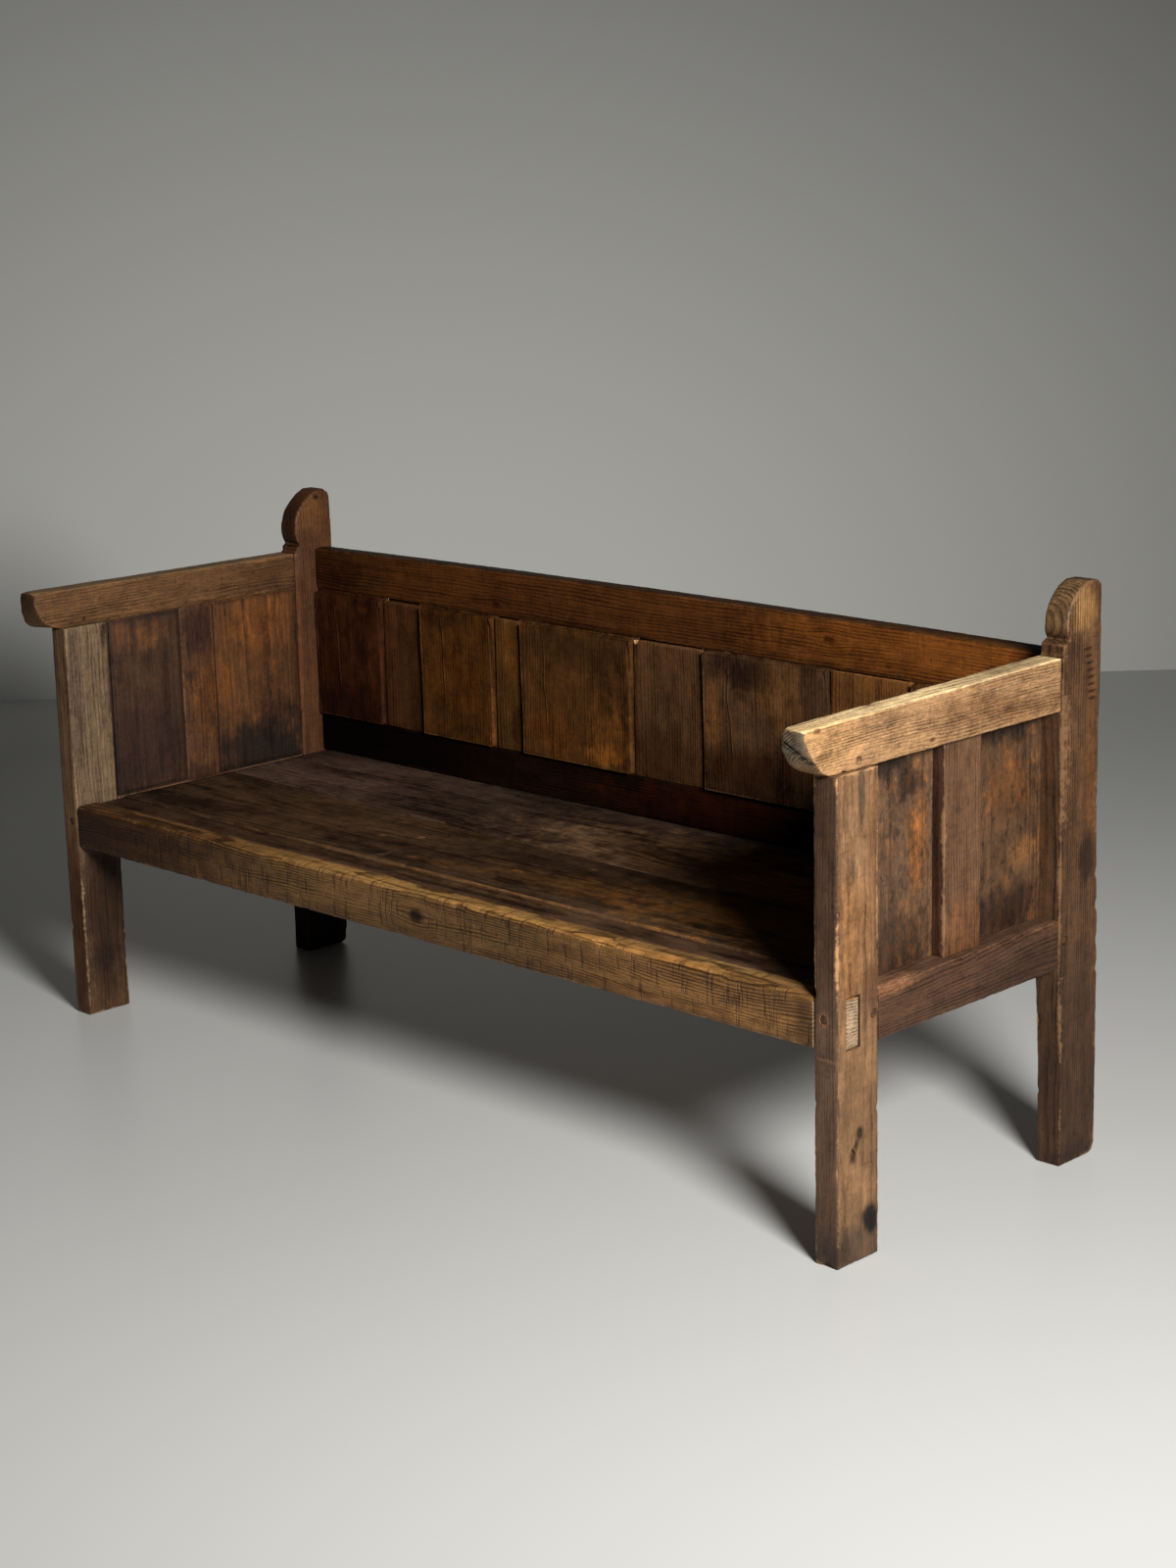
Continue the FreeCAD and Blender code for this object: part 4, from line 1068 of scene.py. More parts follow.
class SETTLE_OT_arms(bpy.types.Operator):
    """Arms with their rounded noses"""
    bl_idname = "settle.arms"
    bl_label = "Arms"

    def execute(self, context):
        end_crack = ((901, -68, 807), (911, -68, 804), (920, -66, 799), (927, -62, 792), (933, -57, 783),
                     (940, -53, 775), (950, -49, 768))
        # Painted shade: dark patches along the crack in the end of the right arm.
        end_crack_shade = [(x, depth, z, (9, 16, 5), 0.2, (0.16, 0.15, 0.15)) for x, depth, z in end_crack[1:]]
        own_cuts = {
            "left": [
                (bore, "+X", (-902, 43, 768), 3.4, 3.0),
                (bore, "+X", (-902, 548, 770), 4.0, 3.0),
                (crack, "+X", (-902, 60, 800), (-902, 230, 806), 1.1, 3.0, 2.0, 11, 21),
                (crack, "+X", (-902, 300, 785), (-902, 500, 792), 1.1, 3.0, 2.0, 11, 22),
            ],
            "right": [
                (groove, "-Y", end_crack, 6.5, 18.0),
                (bore, "+X", (948.5, 52, 765), 4.6, 2.5),
                (crack, "+X", (948.5, -30, 800), (948.5, 190, 806), 1.2, 3.5, 2.5, 13, 23),
                (crack, "+X", (948.5, 120, 782), (948.5, 330, 790), 1.1, 3.0, 2.2, 13, 24),
                (crack, "+X", (948.5, 300, 812), (948.5, 520, 818), 1.2, 3.0, 2.2, 13, 25),
                (crack, "+Z", (920, 60, 828), (925, 300, 832), 1.2, 3.0, 2.2, 13, 26),
                (crack, "+X", (948.5, -22, 771), (948.5, 36, 765), 1.2, 3.0, 1.2, 9, 27),
            ],
        }
        looks = {
            "left": dict(spacing=4.6, rings=0.45, fibre=0.4, cloud=0.35, heart=(-860, 0, 740), wander=0.03,
                         wear=0.6, seed=5.0, relief=0.7,
                         # Painted light and shade: the +Z tint lightens the top, the -Y tint darkens the end,
                         # and the first patch darkens the bore.
                         faces=(("+Z", (2.0, 2.45, 2.85)), ("-Y", (0.5, 0.5, 0.5))),
                         stains_and_painted_light=((-902, 43, 768, (6, 6, 6), 0.2, (0.3, 0.3, 0.3)),
                                 (-902, 500, 790, (20, 90, 40), 0.5, (0.7, 0.66, 0.62)))),
            "right": dict(spacing=4.0, rings=0.42, fibre=0.2, cloud=0.35, mottle=0.5, speckle=0.45,
                          heart=(990, 0, 700),
                          wander=0.035, grime=0.18, wear=0.5, seed=6.0, relief=0.7, pores=0.4,
                          # Painted light and shade: the +Z tint lightens the top and the -Y tint darkens the
                          # end. The small patch at the bore darkens that hole.
                          faces=(("+Z", (3.0, 3.9, 4.4)), ("-Y", (0.52, 0.64, 0.84))),
                          stains_and_painted_light=((935, -40, 828, (30, 60, 8), 0.5, (0.82, 0.78, 0.72)),
                                  (948, -20, 800, (12, 90, 60), 0.5, (1.35, 1.35, 1.25)),
                                  (948, 330, 790, (12, 120, 28), 0.7, (0.72, 0.66, 0.62)),
                                  (948, 470, 770, (12, 110, 22), 0.7, (0.75, 0.7, 0.66)),
                                  (930, 420, 833, (40, 130, 10), 0.7, (0.68, 0.66, 0.66)),
                                  (948, 52, 765, (5, 9, 8), 0.3, (0.5, 0.46, 0.44)),
                                  (925, -66, 800, (30, 8, 26), 0.5, (0.7, 0.75, 0.82)),
                                  *end_crack_shade),
                          knots=((948, -40, 822, 5), (948, 222, 764, 4))),
        }
        for side, sections in ARM_SECTIONS.items():
            s = SIGN[side]
            shapes = []
            for depth, low_out, low_in, top in sections:
                corners = [(s * 902.0, low_in), (s * 948.5, low_out), (s * 948.5, top), (s * 902.0, top)]
                if s < 0:
                    corners = [corners[1], corners[0], corners[3], corners[2]]
                shapes.append(cross_section("Y", depth, corners))
            dents = {"left": ((-903, -60, 828, 10, 3.0), (-948, -60, 828, 10, 3.0)),
                     "right": ((903, -66, 826, 12, 4.0), (948, -66, 826, 9, 2.5), (948, 300, 833, 10, 2.0),
                               (903, 120, 828, 12, 2.5), (948, 20, 751, 9, 3.0),
                               (920, -68, 812, 8, 2.0))}[side]
            name = "arm_" + side
            arm = timber(name, "Y", shapes, cell=12.0, cross=10.0, fine=1, arris=3.2, nibble=0.0024,
                         dents=dents, cuts=own_cuts[side])
            place(arm, "wood_arms", oak(name, "bleached_oak", "Y", **looks[side]), name)
        return {"FINISHED"}


class SETTLE_OT_front_rail(bpy.types.Operator):
    """Front seat rail with the tenons that come through the posts"""
    bl_idname = "settle.front_rail"
    bl_label = "Front seat rail"

    def execute(self, context):
        tops = ((-INNER_X, 415.0), (-400.0, 415.0), (850.0, 415.0), (880.0, 414.0), (894.0, 412.5),
                (INNER_X, 409.5))
        shapes = [cross_section("X", x, rectangle(0.0, 51.0, 334.0, top)) for x, top in tops]
        cuts = [
            (crack, "-Y", (-720, 0, 372), (-420, 0, 366), 1.4, 4.0, 3.0, 13, 31),
            (crack, "-Y", (-300, 0, 352), (-40, 0, 350), 1.2, 4.0, 2.5, 13, 32),
            (crack, "-Y", (120, 0, 384), (430, 0, 378), 1.4, 4.0, 3.0, 15, 33),
            (crack, "-Y", (380, 0, 358), (700, 0, 352), 1.4, 4.0, 3.0, 15, 34),
            (crack, "-Y", (560, 0, 394), (860, 0, 386), 1.2, 4.0, 2.5, 15, 35),
            (crack, "-Y", (-880, 0, 392), (-600, 0, 396), 1.2, 4.0, 2.5, 13, 36),
            (crack, "+Z", (-500, 34, 415), (-150, 30, 415), 1.3, 4.0, 2.5, 13, 37),
            (crack, "+Z", (200, 24, 415), (560, 30, 415), 1.3, 4.0, 2.5, 13, 38),
        ]
        dents = ((-527, 0, 338, 10, 3.0), (264, 0, 404, 7, 2.0), (45, 0, 376, 10, 1.5),
                 (-620, 1, 413, 18, 3.0),
                 (-300, 1, 413, 20, 3.5), (150, 1, 413, 16, 3.0), (480, 1, 413, 22, 3.5),
                 (720, 1, 413, 15, 3.0),
                 (0, 0, 334, 9, 2.5), (610, 0, 334, 10, 2.5), (-240, 0, 334, 8, 2.0))
        rail = timber(
            "front_seat_rail", "X", shapes, cell=14.0, cross=11.0, fine=1, arris=3.0, nibble=0.0032,
            rounds=[((-1000.0, -1.0, 405.0), (1000.0, 1.0, 416.0), 8.0, 5)], open_ends=True, dents=dents,
            cuts=cuts)
        tenons = []
        for s in (-1.0, 1.0):
            x0, x1 = sorted((s * 880.0, s * 948.6))
            tenons.append(timber("tenon", "X", squared("X", x0, x1, (21.2, 50.3, 337.2, 412.2)), cell=8.0,
                                 cross=6.0,
                                 arris=1.2, nibble=0.0012))
        join_into(rail, *tenons)
        looks = dict(
            spacing=5.0, rings=0.7, fibre=0.32, cloud=0.45, heart=(0, 40, 250), wander=0.045, grime=0.35,
            wear=0.6, relief=0.9, seed=7.0, tools=0.6,
            # Painted highlight: the +Z tint lightens the top. The +X and -X tints give the end grain of the
            # tenons its own grey.
            faces=(("+Z", (1.75, 1.75, 1.6)), ("+X", (2.0, 2.75, 5.0)), ("-X", (2.0, 2.75, 5.0))),
            stains_and_painted_light=((-960, 0, 375, (620, 60, 120), 0.3, (0.29, 0.22, 0.18)),
                    (754, 40, 416, (140, 22, 9), 0.5, (1.45, 1.65, 1.8)),
                    (60, 20, 416, (420, 30, 9), 0.5, (1.5, 1.6, 1.5)),
                    (640, 0, 375, (300, 20, 60), 0.4, (1.35, 1.3, 1.2)),
                    (-808, 20, 416, (110, 26, 9), 0.6, (1.9, 2.1, 2.3)),
                    (45, 0, 376, (16, 8, 16), 0.6, (0.35, 0.33, 0.32)),
                    (264, 0, 404, (7, 7, 8), 0.5, (0.4, 0.38, 0.38)),
                    (890, 0, 375, (24, 12, 90), 0.3, (0.6, 0.56, 0.54)),
                    (500, 0, 345, (300, 20, 14), 0.6, (0.75, 0.7, 0.68)),
                    (450, 10, 414, (300, 14, 8), 0.7, (1.6, 1.55, 1.45))),
            knots=((45, 0, 376, 11),))
        place(rail, "wood_rails", oak("front_seat_rail", "brown_oak", "X", **looks), "front_seat_rail")
        return {"FINISHED"}


class SETTLE_OT_side_rails(bpy.types.Operator):
    """Lower side rails"""
    bl_idname = "settle.side_rails"
    bl_label = "Side rails"

    def execute(self, context):
        for side, rear in REAR_POST_FRONT.items():
            s = SIGN[side]
            x0, x1 = sorted((s * INNER_X, s * END_X))
            o0, o1 = sorted((s * 949.0, s * 951.0))
            out = OUTER_FACE[side]
            cuts = [(crack, out, (s * 950, 130, 372), (s * 950, 380, 378), 1.3, 4.0, 3.0, 13, 41),
                    (crack, out, (s * 950, 300, 352), (s * 950, 520, 348), 1.2, 4.0, 3.0, 13, 42)]
            dents = ((s * 950, 118, 414, 15, 5.0), (s * 950, 150, 415, 12, 5.0), (s * 950, 185, 415, 14, 4.0),
                     (s * 950, 300, 415, 10, 2.5), (s * 950, 420, 415, 12, 3.0))
            name = "side_rail_" + side
            rail = timber(name, "Y", squared("Y", 96.0, rear, (x0, x1, 333.0, 416.0)), cell=14.0, cross=11.0,
                          fine=1, arris=3.0, nibble=0.0035, open_ends=True, dents=dents, cuts=cuts,
                          rounds=[((o0, 200.0, 415.0), (o1, 500.0, 417.0), 7.0, 5)])
            looks = dict(spacing=5.5, rings=0.55, heart=(s * 905, 0, 440), wander=0.06, cloud=0.55,
                         grime=0.45, wear=1.0,
                         # Painted highlight: the +Z tint lightens the top.
                         relief=0.6, rust=0.15, seed=9.0 + s, faces=(("+Z", (1.35, 1.5, 1.7)),),
                         stains_and_painted_light=((s * 950, 500, 340, (30, 200, 70), 0.4, (0.6, 0.55, 0.55)),
                                 (s * 950, 135, 409, (34, 60, 14), 0.6, (2.1, 2.0, 1.9))))
            place(rail, "wood_rails", oak(name, "brown_oak", "Y", **looks), name)
        return {"FINISHED"}


class SETTLE_OT_side_frames(bpy.types.Operator):
    """Side panels and the upright between them"""
    bl_idname = "settle.side_frames"
    bl_label = "Side panels"

    def execute(self, context):
        spans = {"left": (96.0, 266.0, 343.5, 557.5, 755.0), "right": (96.0, 271.0, 365.0, 546.0, 750.0)}
        panel_looks = {
            "side_panel_right_front": dict(
                rust=0.8, cloud=0.5, grime=0.6, dirt=0.7, wear=0.1, spacing=7.0, rings=0.25,
                heart=(800, 200, 0), seed=11.0,
                # Painted shade: the first patch darkens the panel just under the arm.
                stains_and_painted_light=((910, 165, 740, (20, 60, 36), 0.9, (0.22, 0.22, 0.26)),
                        (910, 215, 690, (20, 45, 26), 0.9, (0.35, 0.33, 0.34)),
                        (910, 235, 600, (20, 26, 110), 0.9, (1.6, 1.25, 0.8)),
                        (910, 190, 440, (20, 90, 60), 0.8, (0.55, 0.52, 0.5)))),
            "side_panel_right_rear": dict(
                rust=0.8, cloud=0.5, grime=0.6, dirt=0.7, wear=0.1, spacing=7.0, rings=0.25,
                heart=(800, 450, 0), seed=12.0,
                # Painted shade: the first patch darkens the panel just under the arm.
                stains_and_painted_light=((910, 440, 735, (20, 110, 30), 0.9, (0.3, 0.3, 0.33)),
                        (910, 470, 640, (20, 60, 60), 0.9, (1.35, 1.1, 0.75)),
                        (910, 500, 535, (20, 40, 30), 1.0, (2.0, 1.8, 1.3)),
                        (910, 450, 445, (20, 130, 42), 0.5, (0.4, 0.36, 0.36)))),
            "side_panel_left_front": dict(
                rust=0.35, cloud=0.5, grime=0.5, dirt=0.7, wear=0.1, spacing=7.0, rings=0.25,
                heart=(-800, 200, 0), seed=13.0,
                stains_and_painted_light=((-903, 190, 716, (20, 38, 30), 0.8, (2.2, 2.0, 1.4)),
                        (-903, 130, 725, (20, 30, 40), 0.8, (1.9, 1.7, 1.4)),
                        (-903, 170, 500, (20, 120, 110), 0.5, (0.7, 0.7, 0.8)))),
            "side_panel_left_rear": dict(
                rust=0.3, cloud=0.5, grime=0.4, dirt=0.6, wear=0.1, spacing=7.0, rings=0.3,
                heart=(-800, 450, 0), seed=14.0,
                stains_and_painted_light=((-903, 460, 700, (20, 100, 80), 0.8, (1.45, 1.3, 0.9)),
                        (-903, 365, 590, (20, 30, 60), 0.9, (1.5, 1.3, 0.9)),
                        (-903, 450, 430, (20, 160, 110), 0.7, (0.17, 0.21, 0.36)),
                        (-903, 548, 600, (20, 14, 190), 0.4, (0.6, 0.55, 0.5)))),
        }
        for side, (front, low, high, rear, top) in spans.items():
            s = SIGN[side]
            x0, x1 = sorted((s * INNER_X, s * 932.5))
            name = "side_muntin_" + side
            split = (crack, OUTER_FACE[side], (s * 932.5, low + 30, 700), (s * 932.5, low + 36, 480),
                     1.2, 3.5, 2.5, 13, 51)
            muntin = timber(name, "Z", squared("Z", 414.0, top + 2.0, (x0, x1, low, high)), cell=14.0,
                            cross=11.0, fine=1, arris=2.5, nibble=0.0022, open_ends=True,
                            dents=((s * 932, low, 430, 9, 3.0), (s * 932, high, 500, 7, 2.0)),
                            cuts=[split])
            if s > 0:
                looks = dict(rings=0.4, spacing=6.0, heart=(900, 200, 0), cloud=0.5, grime=0.5, wear=0.7,
                             # Painted shade: the -Y tint darkens the front face.
                             seed=15.0, rust=0.2, faces=(("-Y", (0.45, 0.36, 0.33)),),
                             stains_and_painted_light=((932, 318, 440, (20, 60, 60), 0.5, (1.3, 1.1, 0.9)),))
            else:
                looks = dict(rings=0.3, spacing=7.0, heart=(-800, 200, 0), cloud=0.5, grime=0.5, wear=0.8,
                             seed=16.0, rust=0.6,
                             stains_and_painted_light=((-903, 310, 700, (20, 50, 60), 0.8, (0.5, 0.42, 0.55)),
                                     (-903, 318, 560, (20, 30, 110), 0.8, (1.5, 1.3, 0.85)),
                                     (-903, 300, 420, (20, 70, 28), 0.8, (0.5, 0.45, 0.5))))
            place(muntin, "wood_muntins", oak(name, "brown_oak", "Z", **looks), name)
            f0, f1 = sorted((s * 901.5, s * 908.0))
            t0, t1 = sorted((s * 906.5, s * 910.5))
            for where, d0, d1 in (("front", front, low), ("rear", high, rear)):
                name = "side_panel_" + side + "_" + where
                field = timber(name, "Z", squared("Z", 417.5, top - 1.5, (f0, f1, d0 + 1.8, d1 - 1.8)),
                               cell=14.0,
                               cross=13.0, fine=1, arris=1.5, nibble=0.0012, wave=0.0014)
                slab = timber("slab", "Z", squared("Z", 409.0, top + 7.0, (t0, t1, d0 - 7.0, d1 + 7.0)),
                              cell=14.0,
                              cross=13.0, fine=1, arris=0.8, nibble=0.0, wave=0.0014)
                panel = join_into(field, slab)
                place(panel, "wood_side_panels", oak(name, "brown_oak", "Z", **panel_looks[name]), name)
        return {"FINISHED"}


class SETTLE_OT_back_rails(bpy.types.Operator):
    """Bowed top rail and plain bottom rail of the back"""
    bl_idname = "settle.back_rails"
    bl_label = "Back rails"

    def execute(self, context):
        shapes = []
        for step in range(13):
            x = -INNER_X + 2.0 * INNER_X * step / 12.0
            crown = 829.0 + 5.6 * (1.0 - (x / INNER_X) ** 2)
            low = 748.5 - 5.0 * (x / INNER_X * 0.5 + 0.5)
            worn_front = crown - max(0.0, 6.0 * (x - 300.0) / 500.0)
            shapes.append(cross_section("X", x,
                                        [(610.0, low), (647.0, low), (647.0, crown), (610.0, worn_front)]))
        cuts = [
            (crack, "-Y", (-860, 610, 800), (-520, 610, 808), 1.2, 4.0, 3.0, 13, 61),
            (crack, "-Y", (-260, 610, 776), (60, 610, 782), 1.1, 4.0, 3.0, 13, 62),
            (crack, "-Y", (230, 610, 800), (560, 610, 796), 1.2, 4.0, 3.0, 13, 63),
            (crack, "-Y", (420, 610, 768), (780, 610, 764), 1.1, 4.0, 3.0, 13, 64),
        ]
        dents = ((196, 610, 748, 8, 3.0), (-560, 610, 748, 8, 2.5), (-150, 611, 832, 14, 3.0),
                 (380, 611, 830, 12, 3.0))
        top = timber("back_top_rail", "X", shapes, cell=18.0, cross=12.0, fine=1, arris=2.5, nibble=0.0022,
                     open_ends=True, dents=dents, cuts=cuts)
        looks = dict(spacing=6.0, rings=0.5, heart=(0, 600, 660), wander=0.03, cloud=0.4, grime=0.35,
                     rust=0.2, wear=0.5, relief=0.6, seed=21.0, sheen=0.12, faces=(("+Z", (0.5, 0.6, 0.7)),),
                     stains_and_painted_light=((-830, 610, 790, (110, 30, 60), 0.6, (0.55, 0.5, 0.5)),
                             (-140, 610, 752, (240, 10, 12), 0.7, (0.6, 0.55, 0.5)),
                             (620, 610, 800, (420, 20, 60), 0.7, (1.9, 1.8, 1.3))),
                     knots=((430, 610, 795, 8), (-380, 610, 770, 6)))
        place(top, "wood_rails", oak("back_top_rail", "golden_oak", "X", **looks), "back_top_rail")
        bottom = timber("back_bottom_rail", "X",
                        squared("X", -INNER_X, INNER_X, (610.0, 647.0, 416.0, 493.0)),
                        cell=18.0, cross=13.0, fine=1, arris=2.5, nibble=0.002, open_ends=True,
                        cuts=[(crack, "-Y", (-300, 610, 460), (200, 610, 466), 1.2, 4.0, 3.0, 13, 65)])
        # The near-black colour of this rail is painted shade. The +Y tint gives its back the colour of plain
        # dark oak, and the patches make it darker at the left end and lighter right of the middle.
        looks = dict(spacing=6.0, rings=0.4, heart=(0, 600, 560), wander=0.03, cloud=0.5, grime=0.5,
                     seed=22.0, wear=0.3, sheen=0.03, roughness=0.7, faces=(("+Y", (5.0, 5.0, 4.6)),),
                     stains_and_painted_light=((-760, 610, 455, (420, 20, 90), 0.3, (0.25, 0.25, 0.3)),
                             (420, 610, 455, (520, 20, 50), 0.6, (3.4, 2.2, 1.4))))
        place(bottom, "wood_rails", oak("back_bottom_rail", "dark_oak", "X", **looks), "back_bottom_rail")
        return {"FINISHED"}


BACK_MUNTINS = ((-704.0, -594.0), (-389.5, -317.0), (-28.0, 142.0), (431.0, 605.0))


class SETTLE_OT_back_frames(bpy.types.Operator):
    """Uprights and raised panels of the back"""
    bl_idname = "settle.back_frames"
    bl_label = "Back panels"

    def execute(self, context):
        muntin_stains_and_glint = {
            2: ((-350, 610, 680, (30, 20, 60), 0.8, (1.6, 1.4, 1.0)),
                (-330, 610, 540, (22, 20, 60), 0.8, (0.5, 0.45, 0.4))),
            3: ((40, 610, 540, (90, 20, 60), 0.6, (0.7, 0.62, 0.6)),
                # Painted glint: a tiny near-white patch at the top corner of the third muntin.
                (-22, 610, 740, (6, 8, 5), 0.1, (14.0, 18.0, 24.0))),
        }
        for number, (left, right) in enumerate(BACK_MUNTINS, start=1):
            name = "back_muntin_" + str(number)
            split = (crack, "-Y", (left + 24, 610, 720), (left + 30, 610, 540), 1.1, 3.5, 2.5, 11,
                     70 + number)
            face = timber(name, "Z", squared("Z", 492.0, 743.3, (left, right, 610.0, 640.0)), cell=16.0,
                          cross=13.0,
                          fine=1, arris=2.0, nibble=0.0018, cuts=[split])
            tenon = timber("tenon", "Z", squared("Z", 480.0, 760.0, (left + 4, right - 4, 622.0, 633.0)),
                           cell=30.0,
                           cross=30.0, arris=0.8, nibble=0.0)
            muntin = join_into(face, tenon)
            looks = dict(spacing=6.0, rings=0.45, heart=(left - 40, 560, 0), wander=0.025, cloud=0.5,
                         grime=0.45,
                         # Painted highlight: the +Z tint lightens the tops of the muntins.
                         rust=0.3, wear=0.5, seed=30.0 + number, sheen=0.1, faces=(("+Z", (1.8, 1.8, 1.8)),),
                         stains_and_painted_light=muntin_stains_and_glint.get(number, ()))
            place(muntin, "wood_muntins", oak(name, "golden_oak", "Z", **looks), name)
        panel_stains = {
            1: ((-800, 602, 520, (130, 30, 50), 0.6, (0.5, 0.45, 0.45)),
                (-775, 602, 735, (16, 20, 12), 0.8, (0.5, 0.45, 0.4)),
                (-760, 602, 720, (14, 20, 10), 0.9, (2.2, 2.0, 1.8))),
            2: ((-530, 602, 730, (60, 30, 26), 0.8, (0.55, 0.5, 0.5)),
                (-470, 602, 600, (60, 30, 80), 0.8, (1.3, 1.2, 1.0))),
            3: ((-200, 602, 710, (150, 30, 46), 0.8, (0.65, 0.66, 0.62)),
                (-90, 602, 560, (56, 30, 60), 1.0, (1.9, 1.8, 1.4)),
                (-110, 602, 520, (70, 30, 18), 0.8, (1.6, 1.5, 1.2)),
                (-230, 602, 540, (60, 30, 50), 0.8, (1.3, 1.1, 0.8))),
            4: ((230, 602, 715, (100, 30, 34), 0.8, (0.35, 0.33, 0.36)),
                (175, 602, 640, (26, 30, 90), 0.9, (1.8, 1.6, 1.2)),
                (320, 602, 690, (60, 30, 60), 0.9, (1.7, 1.6, 1.2)),
                (260, 602, 540, (120, 30, 50), 0.7, (0.6, 0.5, 0.45))),
            5: ((760, 602, 700, (150, 30, 60), 0.7, (1.2, 1.1, 0.9)),),
        }
        edges = [-INNER_X] + [edge for pair in BACK_MUNTINS for edge in pair] + [INNER_X]
        for number in range(1, 6):
            name = "back_panel_" + str(number)
            left, right = edges[2 * number - 2], edges[2 * number - 1]
            x0, x1 = left + 5.0, right - 1.5
            rims = [
                ((x0 + 5, 601.0, 743.0), (x1 - 5, 603.0, 745.0), 6.0, 3),
                ((x1 - 1, 601.0, 510.0), (x1 + 1, 603.0, 730.0), 6.0, 3),
                ((x0 - 1, 601.0, 510.0), (x0 + 1, 603.0, 730.0), 4.0, 3),
                ((x0 + 5, 601.0, 494.0), (x1 - 5, 603.0, 496.0), 5.0, 3),
            ]
            cuts = [(crack, "-Y", (x0 + 60, 602, 720), (x0 + 70, 602, 560), 1.0, 3.0, 2.5, 11, 80 + number)]
            field = timber(name, "Z", squared("Z", 495.0, 744.0, (x0, x1, 602.0, 616.0)), cell=15.0,
                           cross=13.0, fine=1, arris=1.5, rounds=rims, nibble=0.0018, reach=0.007, cuts=cuts,
                           dents=((x1 - 2, 602, 738, 8, 3.0), (x0 + 20, 602, 742, 9, 2.5)))
            slab = timber("slab", "Z", squared("Z", 485.0, 754.0, (left - 8.0, right + 8.0, 614.0, 620.0)),
                          cell=40.0,
                          cross=40.0, arris=0.8, nibble=0.0)
            panel = join_into(field, slab)
            looks = dict(spacing=7.0, rings=0.4, heart=(left - 60, 560, 0), wander=0.03, cloud=0.55,
                         grime=0.5,
                         rust=0.25, wear=0.6, fibre=0.3, seed=40.0 + number, sheen=0.1, mottle=0.65,
                         stains_and_painted_light=panel_stains[number])
            place(panel, "wood_back_panels", oak(name, "golden_oak", "Z", **looks), name)
        return {"FINISHED"}


